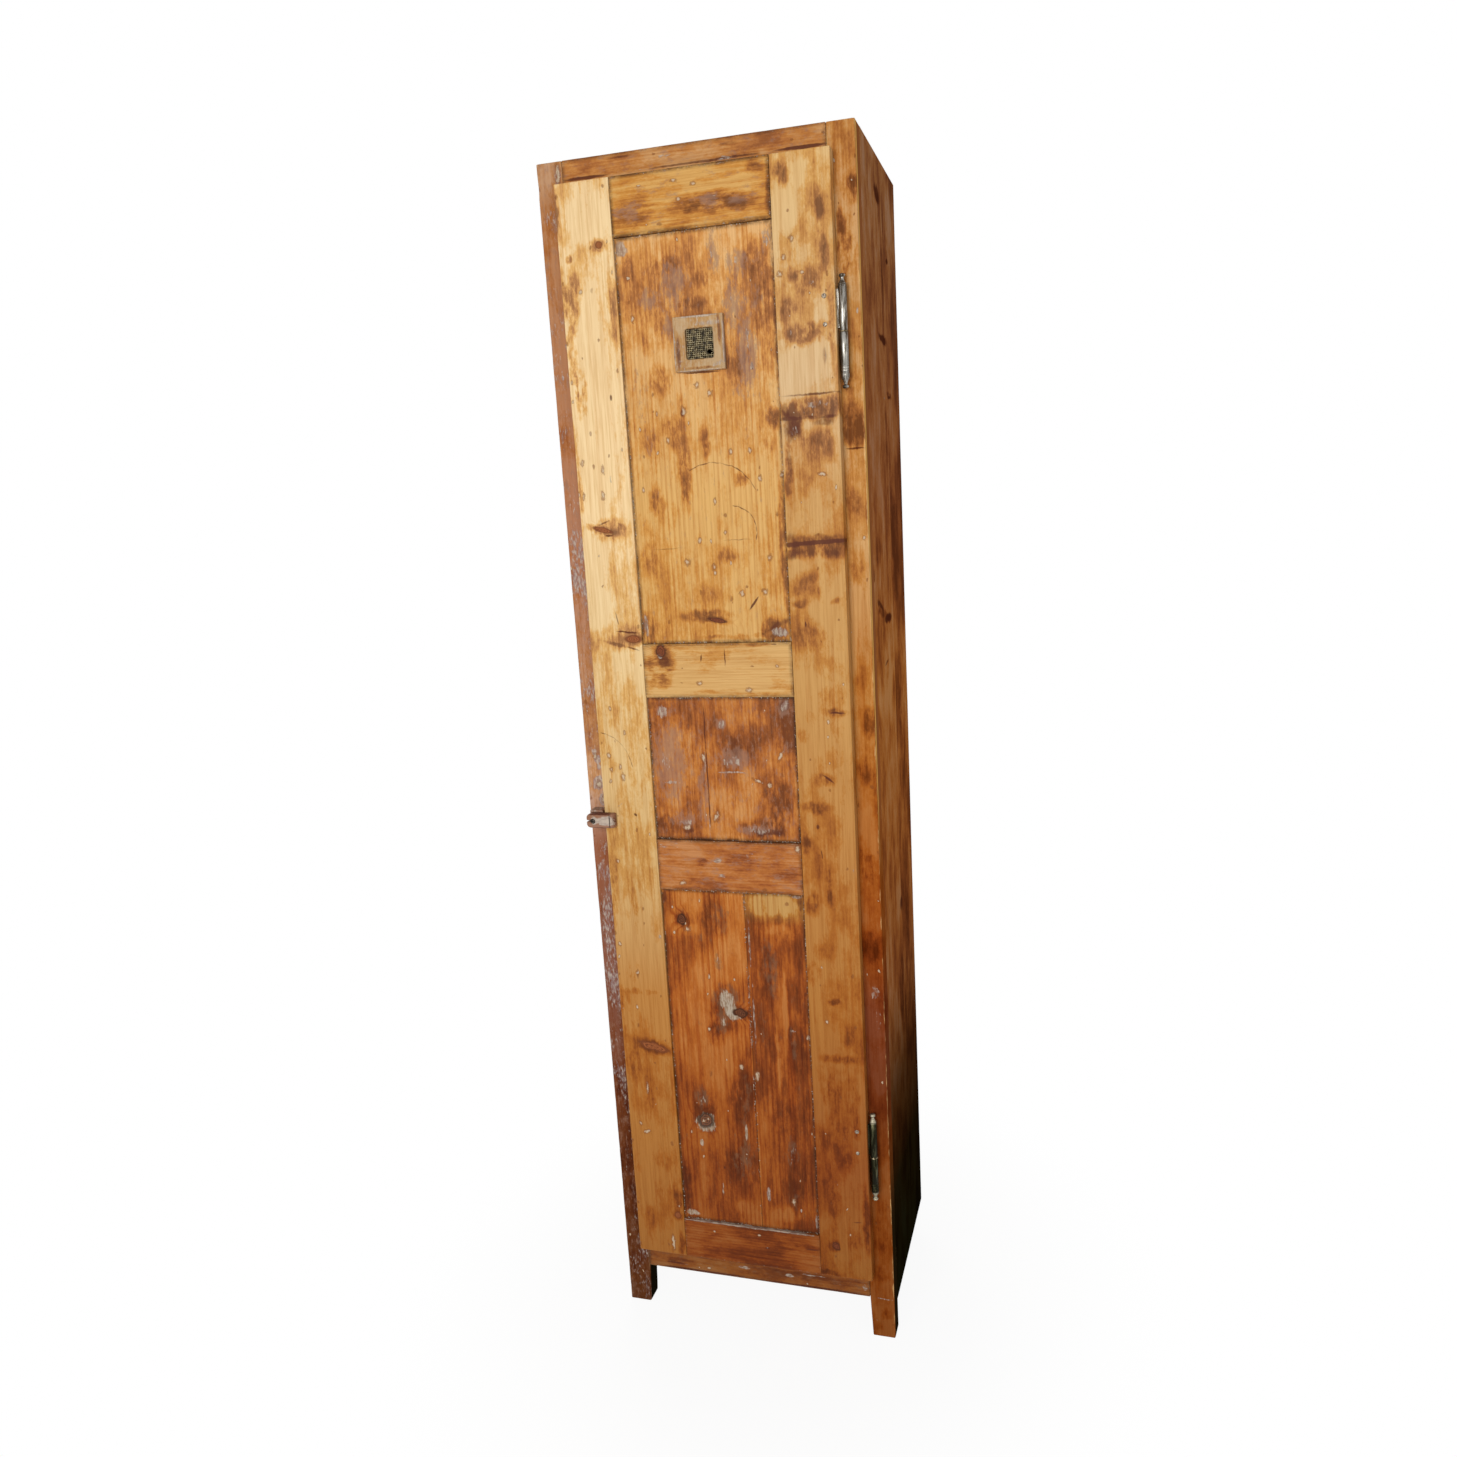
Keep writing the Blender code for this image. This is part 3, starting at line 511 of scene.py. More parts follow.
def hazed(board, colour):
    """A dull film of old paint that was never quite scraped off."""
    look = board.look
    if look["film"] == ABSENT and not look["hazes"]:
        return colour
    veil = board.streaks(8, 20, detail=6.0, rough=0.72, salt=17.0) * 4.6 - 2.3
    veil = smooth(board.field(veil + look["film"], look["hazes"]), -0.15, 0.75)
    return mixed(colour, veil * 0.6, look["haze"])


def burnt_and_shaded(board, colour):
    """Marks of a burner, and painted shadow lines along gaps and edges."""
    if not board.look["burns_and_shadows"]:
        return colour
    burn_and_shade_mask = smooth(board.field((board.cloud - 0.5) * 0.45, board.look["burns_and_shadows"]), 0.15, 0.95)
    return mixed(colour, burn_and_shade_mask * 0.9, BURN_AND_SHADE)


print("stain ready:", len(STAIN_STEPS), "steps")

# %% [markdown]
# ## Paint, knots and pits
# Grey paint stayed in the pores and makes the board rougher. Knots are dark at the rim and ringed
# inside. Small pits come from a Voronoi texture, which cuts the face into cells: some of them have a
# pit near their middle, and some pits are filled with something pale.

# %% Paint, knots and pits
CHALK = paint(204, 194, 178)
PIT = paint(122, 70, 36)
FILLER = paint(208, 192, 166)
PIT_CELL = (26 * MM, 42 * MM)


def painted(board, colour):
    """Scraps of grey paint, chalky in places, and the roughness that comes of them."""
    look = board.look
    rough = board.cloud * 0.1 + (look["rough"] - 0.05)
    if look["residue"] == ABSENT and not look["residues"]:
        return colour, rough
    flake = board.streaks(2.6, 9, detail=4.0, rough=0.65, salt=12.0)
    grey = flake * 2.2 - 1.1 + (board.cloud - 0.5) * 0.7 + look["residue"]
    grey = board.field(grey, look["residues"])
    chalky = smooth(flake + grey * 0.1, 0.52, 0.72)
    grey = smooth(grey, 0.05, 0.60)
    colour = mixed(colour, grey * 0.78, mixed(look["grey"], chalky * 0.7, CHALK))
    return colour, rough + grey * 0.22


def knotted(board, colour):
    """Ringed knots with a dark rim."""
    if not board.look["knots"]:
        return colour
    red, dark = board.look["knot"]
    core_rings = smooth(board.wire.math("FRACT", board.knot * 3.3), 0.2, 0.9)
    colour = mixed(colour, smooth(board.knot, 1.12, 0.80) * 0.9, mixed(red, core_rings, dark))
    rim = smooth(board.wire.math("ABSOLUTE", board.knot - 1.0), 0.30, 0.05)
    return mixed(colour, rim * 0.7, dark)


def small_pits(board):
    """Ragged pits in a few of many cells, and which of them are filled."""
    shift = board.look["seed"] * 1.9
    sockets = {"Vector": board.ragged[0], "Location": (shift, shift, 0.5), "Rotation": (pi / 2, 0.0, 0.0),
               "Scale": (1 / PIT_CELL[0], 1.0, 1 / PIT_CELL[1])}
    moved = board.run.node("ShaderNodeMapping", (), sockets)
    settings = {"feature": "F1", "voronoi_dimensions": "2D"}
    apart = moved.node("ShaderNodeTexVoronoi", settings, {"Vector": moved, "Scale": 1.0}, "Distance")
    cell = apart.node("ShaderNodeSeparateColor", (), {"Color": apart.other("Color")}, "Red")
    share = 1 - board.look["pits"]
    chosen = smooth(cell, share, share + 0.02)
    inside = apart / (cell.other("Green") * 0.07 + 0.035)
    filled = smooth(inside, 0.75, 0.45) * chosen * smooth(cell.other("Blue"), 0.66, 0.70)
    return smooth(inside, 1.2, 0.6) * chosen, filled


def pitted(board, colour):
    """Pits and dents, and the heights that the bump takes."""
    pit, filled = small_pits(board)
    heights = board.late * 0.35 + board.fibre * 0.5 - pit * 1.5
    if board.look["dents"]:
        dent = board.nearest(board.look["dents"]) + (board.grit - 0.5) * 2.4
        pit = board.wire.math("MAXIMUM", pit, smooth(dent, 1.4, 0.9))
        filled = board.wire.math("MAXIMUM", filled, smooth(dent, 0.85, 0.2))
    colour = mixed(colour, pit * 0.6, PIT)
    return mixed(colour, filled * 0.7, FILLER), heights


print("paint, knots and pits ready")

# %% [markdown]
# ## Edges, and the whole finish
# The last steps depend on where a place lies in its board: dirt along a panel's joints, painted shade
# near the floor and other tones on a post's flanks, wood that was never stripped on the inner face, and
# bare wood on rubbed edges.
# Then all steps run in turn.

# %% Pine
GRIME = paint(66, 40, 24)
BARE = paint(226, 186, 124)
BUMP_STRENGTH = 0.55
BUMP_DISTANCE = 0.5 * MM


def joint_dirt(board, colour, heights):
    """Dirt and chalk along the outline of a board."""
    share = board.look["joints"]
    if not share:
        return colour, heights
    border = board.border_distance()
    speck = board.streaks(2.2, 4.5, detail=3.0, rough=0.6, salt=15.0)
    dirt = smooth(border, 7 * MM, 0.3 * MM) * smooth(speck + board.cloud * 0.4, 0.35, 0.90, 0.25, 1.0)
    colour = mixed(colour, dirt * share, GRIME)
    chalk_line = smooth(border, 4 * MM, 1 * MM) * smooth(speck, 0.60, 0.68) * share
    return mixed(colour, chalk_line * 0.7, CHALK), heights + chalk_line * 0.8


def flanked(board, colour):
    """Tones on the sides of a board, each from one height to another and so many millimetres deep."""
    # A dark tone near the floor is painted shade, on the posts' feet and lower sides.
    for tone, full, none, reach in board.look["flanks"]:
        depth = board.parts["Y"] - board.low[1]
        ragged_depth = depth + board.comb * (5 * MM)
        behind = smooth(depth, 1.5 * MM, 4 * MM) * smooth(ragged_depth, (reach + 4) * MM, reach * MM)
        share = smooth(board.parts["Z"], none * MM, full * MM, 0.0, 0.95)
        colour = mixed(colour, behind * share, tone)
    return colour


def unstripped_inside(board, colour):
    """A plain dull tone on the face that looks into the locker."""
    if not board.look["inside"]:
        return colour
    plain = fibred(board, board.look["inside"])
    plain = mixed(plain, board.late * 0.5, LATE_TINT, "MULTIPLY")
    plain = mixed(plain, smooth(board.cloud + board.drift, 0.4, 1.7) * 0.8, LATE_TINT, "MULTIPLY")
    return mixed(colour, smooth(board.high[1] - board.parts["Y"], 3.0 * MM, 1.2 * MM), plain)


def rubbed_and_highlit(board, colour):
    """A broken line of bare wood along the edges."""
    if not board.look["worn"]:
        return colour
    chips = board.streaks(5, 22, detail=3.0, salt=20.0)
    edge = smooth(board.arris_distance() + chips * (8 * MM), 5.2 * MM, 3.4 * MM)
    return mixed(colour, edge * board.look["worn"] * 0.85, BARE)


def pine(name, look, low, high):
    """The finish of one board."""
    material, shader, wire = new_material(name)
    board = Board(wire, {**PLAIN, **look}, low, high)
    colour = stained(board, bare_wood(board))
    colour = burnt_and_shaded(board, hazed(board, colour))
    colour, rough = painted(board, colour)
    colour, heights = pitted(board, knotted(board, colour))
    colour, heights = joint_dirt(board, colour, heights)
    colour = rubbed_and_highlit(board, unstripped_inside(board, flanked(board, colour)))
    sockets = {"Strength": BUMP_STRENGTH, "Distance": BUMP_DISTANCE, "Height": heights}
    bump = wire.node("ShaderNodeBump", (), sockets, "Normal")
    feed(shader, Base_Color=colour, Roughness=rough, Normal=bump)
    shader.inputs["Specular IOR Level"].default_value = board.look["specular"]
    return material


print("pine finish ready")

# %% [markdown]
# ## Boards with worn edges
# A box with sharp edges never looks like an old board. Each board here is a chain of rounded
# rectangles along its length. Smooth noise changes their corners and sides, so edges look rubbed,
# chipped and not quite straight. Only inward moves are allowed, so no board grows past its solid.

# %% Worn boards
STATION = 12 * MM
SLACK = 0.25 * MM
ARC_STEPS = 3
CHIP_RARITY = 0.38
CHIP_DEPTH = 4.0


def new_piece(name, bm):
    """A mesh object at the origin, with its place in its mesh."""
    mesh = bpy.data.meshes.new(name)
    bm.to_mesh(mesh)
    bm.free()
    piece = bpy.data.objects.new(name, mesh)
    bpy.context.scene.collection.objects.link(piece)
    return piece


def closed_piece(name, bm):
    """A piece whose faces all point outwards."""
    bmesh.ops.recalc_face_normals(bm, faces=bm.faces)
    return new_piece(name, bm)


def bridge(bm, near, far, flat_after=None):
    """Faces between two rings of points. A rounded outline has a flat side after so many steps."""
    count = max(len(near), len(far))
    for index in range(count):
        following = (index + 1) % count
        corners = [near[index % len(near)], near[following % len(near)]]
        corners += [far[following % len(far)], far[index % len(far)]]
        face = bm.faces.new(list(dict.fromkeys(corners)))
        face.smooth = flat_after is None or index % (flat_after + 1) != flat_after


def worn_board(name, low, high, wear=1.0, seed=1, taper=None):
    """A board with rubbed edges. Wear is the usual corner radius in millimetres."""
    size = [far - near for near, far in zip(low, high)]
    along = size.index(max(size))
    wide, deep = [axis for axis in range(3) if axis != along]
    radius = wear * MM
    steps = max(3, round((size[along] - 2 * radius) / STATION))
    ends = [(0.0, radius), (radius * 0.29, radius * 0.29)]
    stations = list(ends)
    stations += [(radius + (size[along] - 2 * radius) * step / steps, 0.0) for step in range(steps + 1)]
    stations += [(size[along] - start, inset) for start, inset in reversed(ends)]
    bm = bmesh.new()
    rings = []
    for start, inset in stations:
        sway = [noise.noise((start * 4, side * 7.3, seed * 3.1)) for side in range(4)]
        moves = [inset + SLACK * (0.5 + 0.5 * value) for value in sway]
        edges = [low[wide] + moves[0], low[deep] + moves[1], high[wide] - moves[2], high[deep] - moves[3]]
        if taper:
            edges = taper(low[along] + start, edges)
        rings.append(worn_ring(bm, edges, low[along] + start, (along, wide, deep), radius, start, seed))
    for near, far in zip(rings, rings[1:]):
        bridge(bm, near, far, flat_after=ARC_STEPS)
    bm.faces.new(rings[0])
    bm.faces.new(rings[-1])
    return closed_piece(name, bm)


def worn_ring(bm, edges, level, axes, radius, start, seed):
    """One rounded rectangle of points across a board."""
    left, bottom, right, top = edges
    along, wide, deep = axes
    ring = []
    for number, (u, v) in enumerate(((left, bottom), (right, bottom), (right, top), (left, top))):
        rub = 0.5 + 0.5 * noise.noise((start * 22, number * 5.7, seed * 2.3))
        chip = max(0.0, noise.noise((start * 55, number * 3.1 + 40, seed * 1.7)) - CHIP_RARITY)
        turn = radius * (0.45 + rub + CHIP_DEPTH * chip)
        centre_u = u + turn if u == left else u - turn
        centre_v = v + turn if v == bottom else v - turn
        for step in range(ARC_STEPS + 1):
            angle = pi + number * pi / 2 + step * pi / 2 / ARC_STEPS
            point = [0.0, 0.0, 0.0]
            point[along] = level
            point[wide] = centre_u + turn * cos(angle)
            point[deep] = centre_v + turn * sin(angle)
            ring.append(bm.verts.new(point))
    return ring


print("worn boards ready")

# %% [markdown]
# ## Pieces in the place of solids
# A finished piece rides on the body that carries its solids, gets its own material and hides them.
# A board that has tenons or grooved edges is cut back to what shows between its neighbours.

# %% Places
GAP = 0.3 * MM


def settle(piece):
    """Turns what a piece's modifiers make into its plain mesh."""
    graph = bpy.context.evaluated_depsgraph_get()
    mesh = bpy.data.meshes.new_from_object(piece.evaluated_get(graph), depsgraph=graph)
    piece.modifiers.clear()
    piece.data = mesh


def stand_for(piece, material, *nodes):
    """Gives a piece its finish and puts it in the place of CAD nodes, on the body that carries them."""
    piece.data.materials.clear()
    piece.data.materials.append(material)
    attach(piece, BODY_OF[nodes[0]])
    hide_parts(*nodes)


def trimmed(node, left=None, right=None, below=None, above=None):
    """A node's box, cut back to what shows between its neighbours, with a hairline gap."""
    low, high = (list(corner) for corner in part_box(node))
    if left:
        low[0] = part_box(left)[1].x + GAP
    if right:
        high[0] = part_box(right)[0].x - GAP
    if below:
        low[2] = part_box(below)[1].z + GAP
    if above:
        high[2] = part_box(above)[0].z - GAP
    return low, high


def lay_board(node, look, wear=1.0, box=None, taper=None, outline=None):
    """One worn board with its own finish, in the place of a CAD node. Dirt gathers along the outline."""
    low, high = box or [list(corner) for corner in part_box(node)]
    piece = worn_board(f"{node}_worn", low, high, wear, look["seed"], taper)
    stand_for(piece, pine(f"{node}_pine", look, *(outline or (low, high))), node)
    return piece


# %% [markdown]
# ## The door's stiles
# The stiles were scraped almost to bare wood at the top and keep more amber lower down, so their ground
# colour is a ramp over the height, which also holds painted shade that deepens towards the floor.
# Branches that the saw cut lengthways left dark bars on the right one. The inner face of the door was
# never stripped.

# %% Stiles
SCRATCH_PIECES = 7
SCRATCH_WIDTH = 3.0
CREAM = paint(238, 209, 161)
STRAW = paint(224, 193, 141)
HONEY = paint(210, 175, 120)
GOLD = paint(184, 129, 67)
AMBER = paint(174, 117, 56)
TOFFEE = paint(162, 106, 48)
UNSTRIPPED = paint(150, 102, 60)


def arc(h, v, radius, start, end, strength):
    """A scratch along a circle, as a chain of short thin spots that overlap by half."""
    step = radians(end - start) / SCRATCH_PIECES
    chain = []
    for index in range(SCRATCH_PIECES):
        angle = radians(start) + (index + 0.5) * step
        place = (h + radius * cos(angle), v + radius * sin(angle))
        chain.append((*place, SCRATCH_WIDTH, abs(step) * radius * 1.5, strength, angle * 180 / pi))
    return chain


LEFT_STILE = {
    "seed": 3, "spacing": 9.0, "contrast": 0.16, "pith": (8, 30), "stain": -0.57, "pits": 0.34,
    "patch": (20, 60),
    "ground": (
        (120, TOFFEE), (350, AMBER), (600, GOLD), (850, HONEY), (1100, STRAW), (1250, paint(232, 204, 156)),
        (1400, CREAM)),
    "stains": [
        (-206, 1640, 48, 340, 0.56), (-186, 1700, 34, 130, 0.5), (-189, 1756, 16, 16, 0.7),
        (-187, 1575, 30, 120, 0.55), (-206, 1430, 22, 260, 0.5), (-204, 1820, 16, 100, 0.5),
        (-126, 1690, 22, 160, 0.55), (-141, 1772, 50, 36, 0.45), (-208, 1825, 18, 80, 0.75),
        (-163, 1364, 100, 50, 0.55), (-138, 1367, 22, 16, 0.45), (-150, 1199, 100, 60, 0.5),
        (-200, 1195, 30, 60, 0.25), (-165, 1188, 60, 8, 0.45, -14), (-160, 606, 90, 18, 0.42),
        (-195, 590, 24, 60, 0.36), (-150, 507, 90, 40, 0.36), (-190, 470, 40, 100, 0.42),
        (-127, 225, 30, 110, 0.65), (-126, 140, 20, 70, 0.55), (-195, 290, 30, 70, 0.4),
        (-165, 760, 14, 140, 0.32), (-196, 790, 16, 170, 0.32), (-188, 880, 22, 60, 0.26),
        (-204, 690, 16, 560, 0.3), (-165, 400, 30, 160, 0.3), (-185, 180, 40, 90, 0.32),
        (-150, 300, 60, 60, 0.25), (-180, 640, 50, 60, 0.28), (-140, 430, 30, 60, 0.25),
        (-170, 240, 60, 50, 0.22), (-165, 140, 60, 30, 0.25), (-150, 560, 40, 40, 0.2),
        (-158, 1815, 90, 100, -0.5), (-158, 1650, 50, 240, -0.4)],
    "knot": (paint(158, 92, 52), paint(108, 58, 32)),
    "knots": [
        (-141, 1773, 10, 9), (-170, 1364, 30, 7, 1, -14), (-133, 1195, 25, 11), (-150, 508, 52, 12, 1, -14),
        (-130, 196, 10, 11)],
    "burns_and_shadows": [
        (-208, 1827, 10, 40, 0.6), (-160, 1355, 18, 6, 0.9), (-142, 1206, 56, 5, 1.0, -6),
        (-135, 1180, 40, 5, 0.7, -14), (-140, 1558, 6, 14, 1.0), (-157, 1226, 3, 34, 0.6, 12),
        (-168, 1374, 34, 4, 0.6, 20), (-152, 911, 11, 6, 0.8, -40), (-170, 636, 4, 26, 0.7),
        *arc(-213, 985, 62, 4, 80, 0.6)],
    "dents": [
        (-195, 1466, 6, 9), (-162, 1453, 5, 12), (-165, 1415, 6, 14), (-198, 1415, 4, 10),
        (-190, 1009, 7, 9), (-188, 985, 6, 9), (-172, 990, 5, 10), (-168, 974, 7, 11), (-190, 966, 5, 7),
        (-182, 1085, 5, 7), (-142, 142, 7, 30), (-175, 350, 14, 7, 1, 15), (-168, 432, 5, 22),
        (-170, 640, 6, 10), (-186, 364, 5, 9), (-160, 1046, 4, 7), (-190, 832, 7, 6), (-198, 688, 6, 8)],
    "residues": [
        (-150, 1440, 8, 22, 1.3), (-180, 926, 44, 4, 1.3, 34), (-125, 705, 8, 14, 1.4),
        (-130, 197, 12, 8, 1.3)],
}
RIGHT_STILE = {
    "seed": 7, "spacing": 8.0, "contrast": 0.22, "pith": (-10, 28), "stain": -0.44, "pits": 0.3,
    "patch": (24, 44),
    "ground": (
        (120, paint(156, 100, 44)), (320, paint(150, 87, 39)), (600, AMBER), (850, paint(184, 130, 70)),
        (1130, paint(195, 149, 88)), (1400, paint(199, 154, 94)), (1560, paint(214, 182, 138)),
        (1850, paint(220, 184, 128))),
    "stains": [
        (138, 1836, 28, 46, 0.75), (140, 1785, 50, 70, -0.45), (165, 1835, 44, 50, -0.3),
        (191, 1790, 26, 56, 0.65), (196, 1725, 20, 70, 0.5), (150, 1705, 30, 30, 0.5),
        (172, 1690, 56, 60, 0.5), (140, 1655, 44, 50, 0.45), (165, 1622, 100, 44, 0.65),
        (203, 1640, 16, 160, 0.4), (152, 1578, 76, 66, -0.6), (168, 1521, 180, 48, 0.85),
        (140, 1490, 50, 90, 0.65), (178, 1470, 66, 60, 0.4), (130, 1430, 20, 120, 0.6),
        (170, 1385, 80, 70, -0.15), (166, 1324, 170, 46, 0.75), (150, 1268, 76, 56, 0.45),
        (193, 1245, 20, 16, 0.65), (140, 1243, 50, 16, 0.45), (155, 1192, 100, 60, 0.36),
        (160, 1130, 100, 50, -0.2), (188, 1078, 60, 20, 0.5), (132, 1042, 30, 36, 0.5),
        (165, 975, 50, 30, 0.45), (150, 930, 66, 26, 0.5), (132, 870, 30, 36, 0.5), (136, 775, 40, 66, 0.5),
        (165, 800, 12, 100, 0.4), (132, 660, 40, 60, 0.5), (165, 612, 30, 16, 0.55),
        (175, 515, 120, 22, 0.45), (152, 460, 50, 130, 0.5), (190, 450, 36, 100, 0.45),
        (160, 380, 90, 100, 0.36), (152, 250, 30, 160, 0.45), (203, 240, 18, 180, 0.6),
        (160, 160, 50, 40, -0.15), (170, 330, 70, 60, 0.35), (195, 390, 22, 70, 0.5),
        (140, 300, 30, 120, 0.3), (185, 190, 40, 50, 0.35), (160, 700, 70, 50, 0.25),
        (185, 560, 40, 60, 0.28), (140, 125, 60, 14, 0.4)],
    "knots": [(150, 176, 12, 12)],
    "burns_and_shadows": [
        (166, 1540, 180, 5, 0.6), (160, 1508, 180, 8, 0.45), (128, 1520, 20, 40, 0.5),
        (200, 1512, 24, 30, 0.35), (138, 1494, 44, 60, 0.8), (132, 1448, 14, 76, 0.6),
        (186, 1500, 50, 18, 0.5), (168, 1331, 190, 9, 1.1, 2), (172, 1338, 80, 16, 0.5),
        (130, 1328, 26, 56, 0.5), (166, 1325, 190, 3.5, -0.25, 2), (160, 1315, 190, 20, 0.4, 2),
        (145, 1212, 4, 14, 1.0), (190, 1078, 36, 5, 1.0), (170, 976, 32, 5, 1.1, -34),
        (150, 900, 8, 14, 0.8), (155, 855, 3, 22, 0.9, 8), (188, 226, 26, 4, 0.7), (190, 1590, 10, 46, 0.5)],
    "dents": [
        (151, 577, 6, 7), (180, 1428, 14, 6, 1, -8), (150, 1750, 6, 9), (137, 1727, 6, 8),
        (130, 1705, 8, 8), (163, 1705, 5, 5)],
    "residues": [
        (142, 1488, 24, 34, 1.1), (168, 1526, 66, 16, 1.1), (150, 1516, 50, 8, 0.9),
        (195, 1524, 24, 10, 0.9), (204, 830, 6, 16, 1.6), (150, 176, 12, 12, 1.2), (140, 1625, 24, 18, 0.9),
        (192, 1588, 8, 26, 1.1), (155, 300, 14, 100, 0.8), (175, 1690, 20, 10, 1.1)],
}
STILES = {"door_left_stile": LEFT_STILE, "door_right_stile": RIGHT_STILE}
for node, look in STILES.items():
    lay_board(node, {**look, "inside": UNSTRIPPED}, wear=1.2)
print("stiles:", len(STILES))

# %% [markdown]
# ## The door's rails
# Rails lie across, so their directions swap: the letters say which of X, Y and Z runs across the grain,
# into the wood and along the grain. The lower two kept most of their stain, and their darker grounds also
# hold painted shade towards the floor.

# %% Rails
ACROSS = "ZYX"
BETWEEN_STILES = {"left": "door_left_stile", "right": "door_right_stile"}
TOP_RAIL = {
    "axes": ACROSS, "seed": 11, "spacing": 6.0, "contrast": 0.3, "pith": (30, 26), "stain": -0.28,
    "pits": 0.25, "ground": ((0, paint(212, 165, 96)),), "patch": (20, 60), "streak": 1.0, "film": -0.22,
    "joints": 0.9,
    "stains": [
        (35, 1810, 170, 40, 0.8), (75, 1802, 56, 26, 0.4), (-85, 1808, 110, 60, 0.42),
        (102, 1848, 36, 30, 0.65), (55, 1834, 150, 8, -0.55, 6), (20, 1848, 120, 8, -0.4, 4),
        (-50, 1822, 70, 8, -0.35), (118, 1810, 12, 60, 0.4), (0, 1785, 240, 8, -0.2),
        (-60, 1855, 80, 14, 0.3)],
    "burns_and_shadows": [(75, 1802, 50, 16, 0.45), (104, 1850, 22, 14, 0.5)],
    "dents": [(-20, 1846, 10, 5), (10, 1838, 8, 5), (-14, 1820, 8, 5), (52, 1860, 12, 5)],
    "hazes": [(34, 1812, 50, 30, 0.8), (-90, 1812, 60, 40, 0.45), (75, 1806, 50, 20, 0.6)],
    "residues": [
        (34, 1814, 46, 28, 1.0), (68, 1806, 36, 16, 0.7), (90, 1784, 40, 4, 1.3),
        (100, 1835, 60, 2, 1.3, 10)],
}
UPPER_RAIL = {
    "axes": ACROSS, "seed": 13, "spacing": 3.4, "contrast": 0.3, "pith": (-60, 10), "stain": -0.56,
    "pits": 0.2, "ground": ((0, paint(208, 166, 106)),), "wander": 3.0, "streak": 1.0, "joints": 0.6,
    "stains": [
        (-88, 1150, 56, 96, 0.7), (-112, 1140, 30, 96, 0.42), (60, 1107, 130, 10, 0.45),
        (-30, 1110, 100, 12, 0.36), (60, 1183, 120, 10, 0.36)],
    "knots": [(-88, 1176, 16, 18)],
    "burns_and_shadows": [
        (-84, 1158, 26, 36, 0.55), (-23, 1164, 4, 20, 0.8, -10), (15, 1162, 3, 44, 0.8),
        (95, 1183, 14, 5, 0.8)],
    "dents": [(-28, 1125, 9, 6), (52, 1114, 10, 7), (98, 1150, 5, 4)],
    "residues": [(-90, 1168, 18, 16, 1.6)],
}
LOWER_RAIL = {
    "axes": ACROSS, "seed": 17, "spacing": 4.5, "contrast": 0.3, "pith": (45, 16), "stain": -0.26,
    "pits": 0.28, "ground": ((0, paint(190, 132, 84)),), "residue": -0.45, "streak": 1.0, "film": -0.15,
    "joints": 0.7,
    "stains": [(-43, 835, 30, 20, 0.6), (-90, 850, 66, 44, 0.25), (60, 810, 100, 12, -0.2)],
    "burns_and_shadows": [(40, 871, 40, 4, 0.8)], "dents": [(-78, 800, 12, 9), (116, 864, 9, 16)],
    "residues": [
        (-15, 838, 20, 14, 1.1), (-10, 815, 18, 9, 1.0), (-90, 862, 76, 16, 0.7), (45, 850, 44, 34, 0.5)],
}
BOTTOM_RAIL = {
    "axes": ACROSS, "seed": 19, "spacing": 5.0, "contrast": 0.4, "pith": (-40, 18), "stain": -0.2,
    "pits": 0.28, "ground": ((0, paint(154, 92, 44)),), "residue": -0.7, "streak": 1.0, "joints": 0.25,
    "stains": [
        (100, 168, 66, 16, 0.4), (-70, 150, 110, 50, 0.3), (-40, 172, 130, 24, 0.25),
        (30, 135, 150, 20, -0.15), (60, 165, 60, 40, 0.2)],
    "burns_and_shadows": [(30, 155, 14, 5, 0.9), (108, 164, 34, 4, 0.8)],
    "residues": [
        (-75, 190, 150, 5, 1.7), (0, 190, 150, 5, 1.5), (72, 190, 130, 5, 1.7), (30, 156, 5, 6, 1.3)],
}
RAILS = {
    "door_top_rail": TOP_RAIL, "door_upper_middle_rail": UPPER_RAIL,
    "door_lower_middle_rail": LOWER_RAIL, "door_bottom_rail": BOTTOM_RAIL,
}
for node, look in RAILS.items():
    lay_board(node, {**look, "inside": UNSTRIPPED}, wear=0.8, box=trimmed(node, **BETWEEN_STILES))
print("rails:", len(RAILS))

# %% [markdown]
# ## The looks of the door's panels
# The panels lie 4 mm behind the frame, so dirt, filler and paint stayed along their edges, where a
# scraper can't reach. The upper panel is the palest, with a circle that a pair of compasses scratched.
# The lower one is two boards with an open joint, and a knot with filler round it.

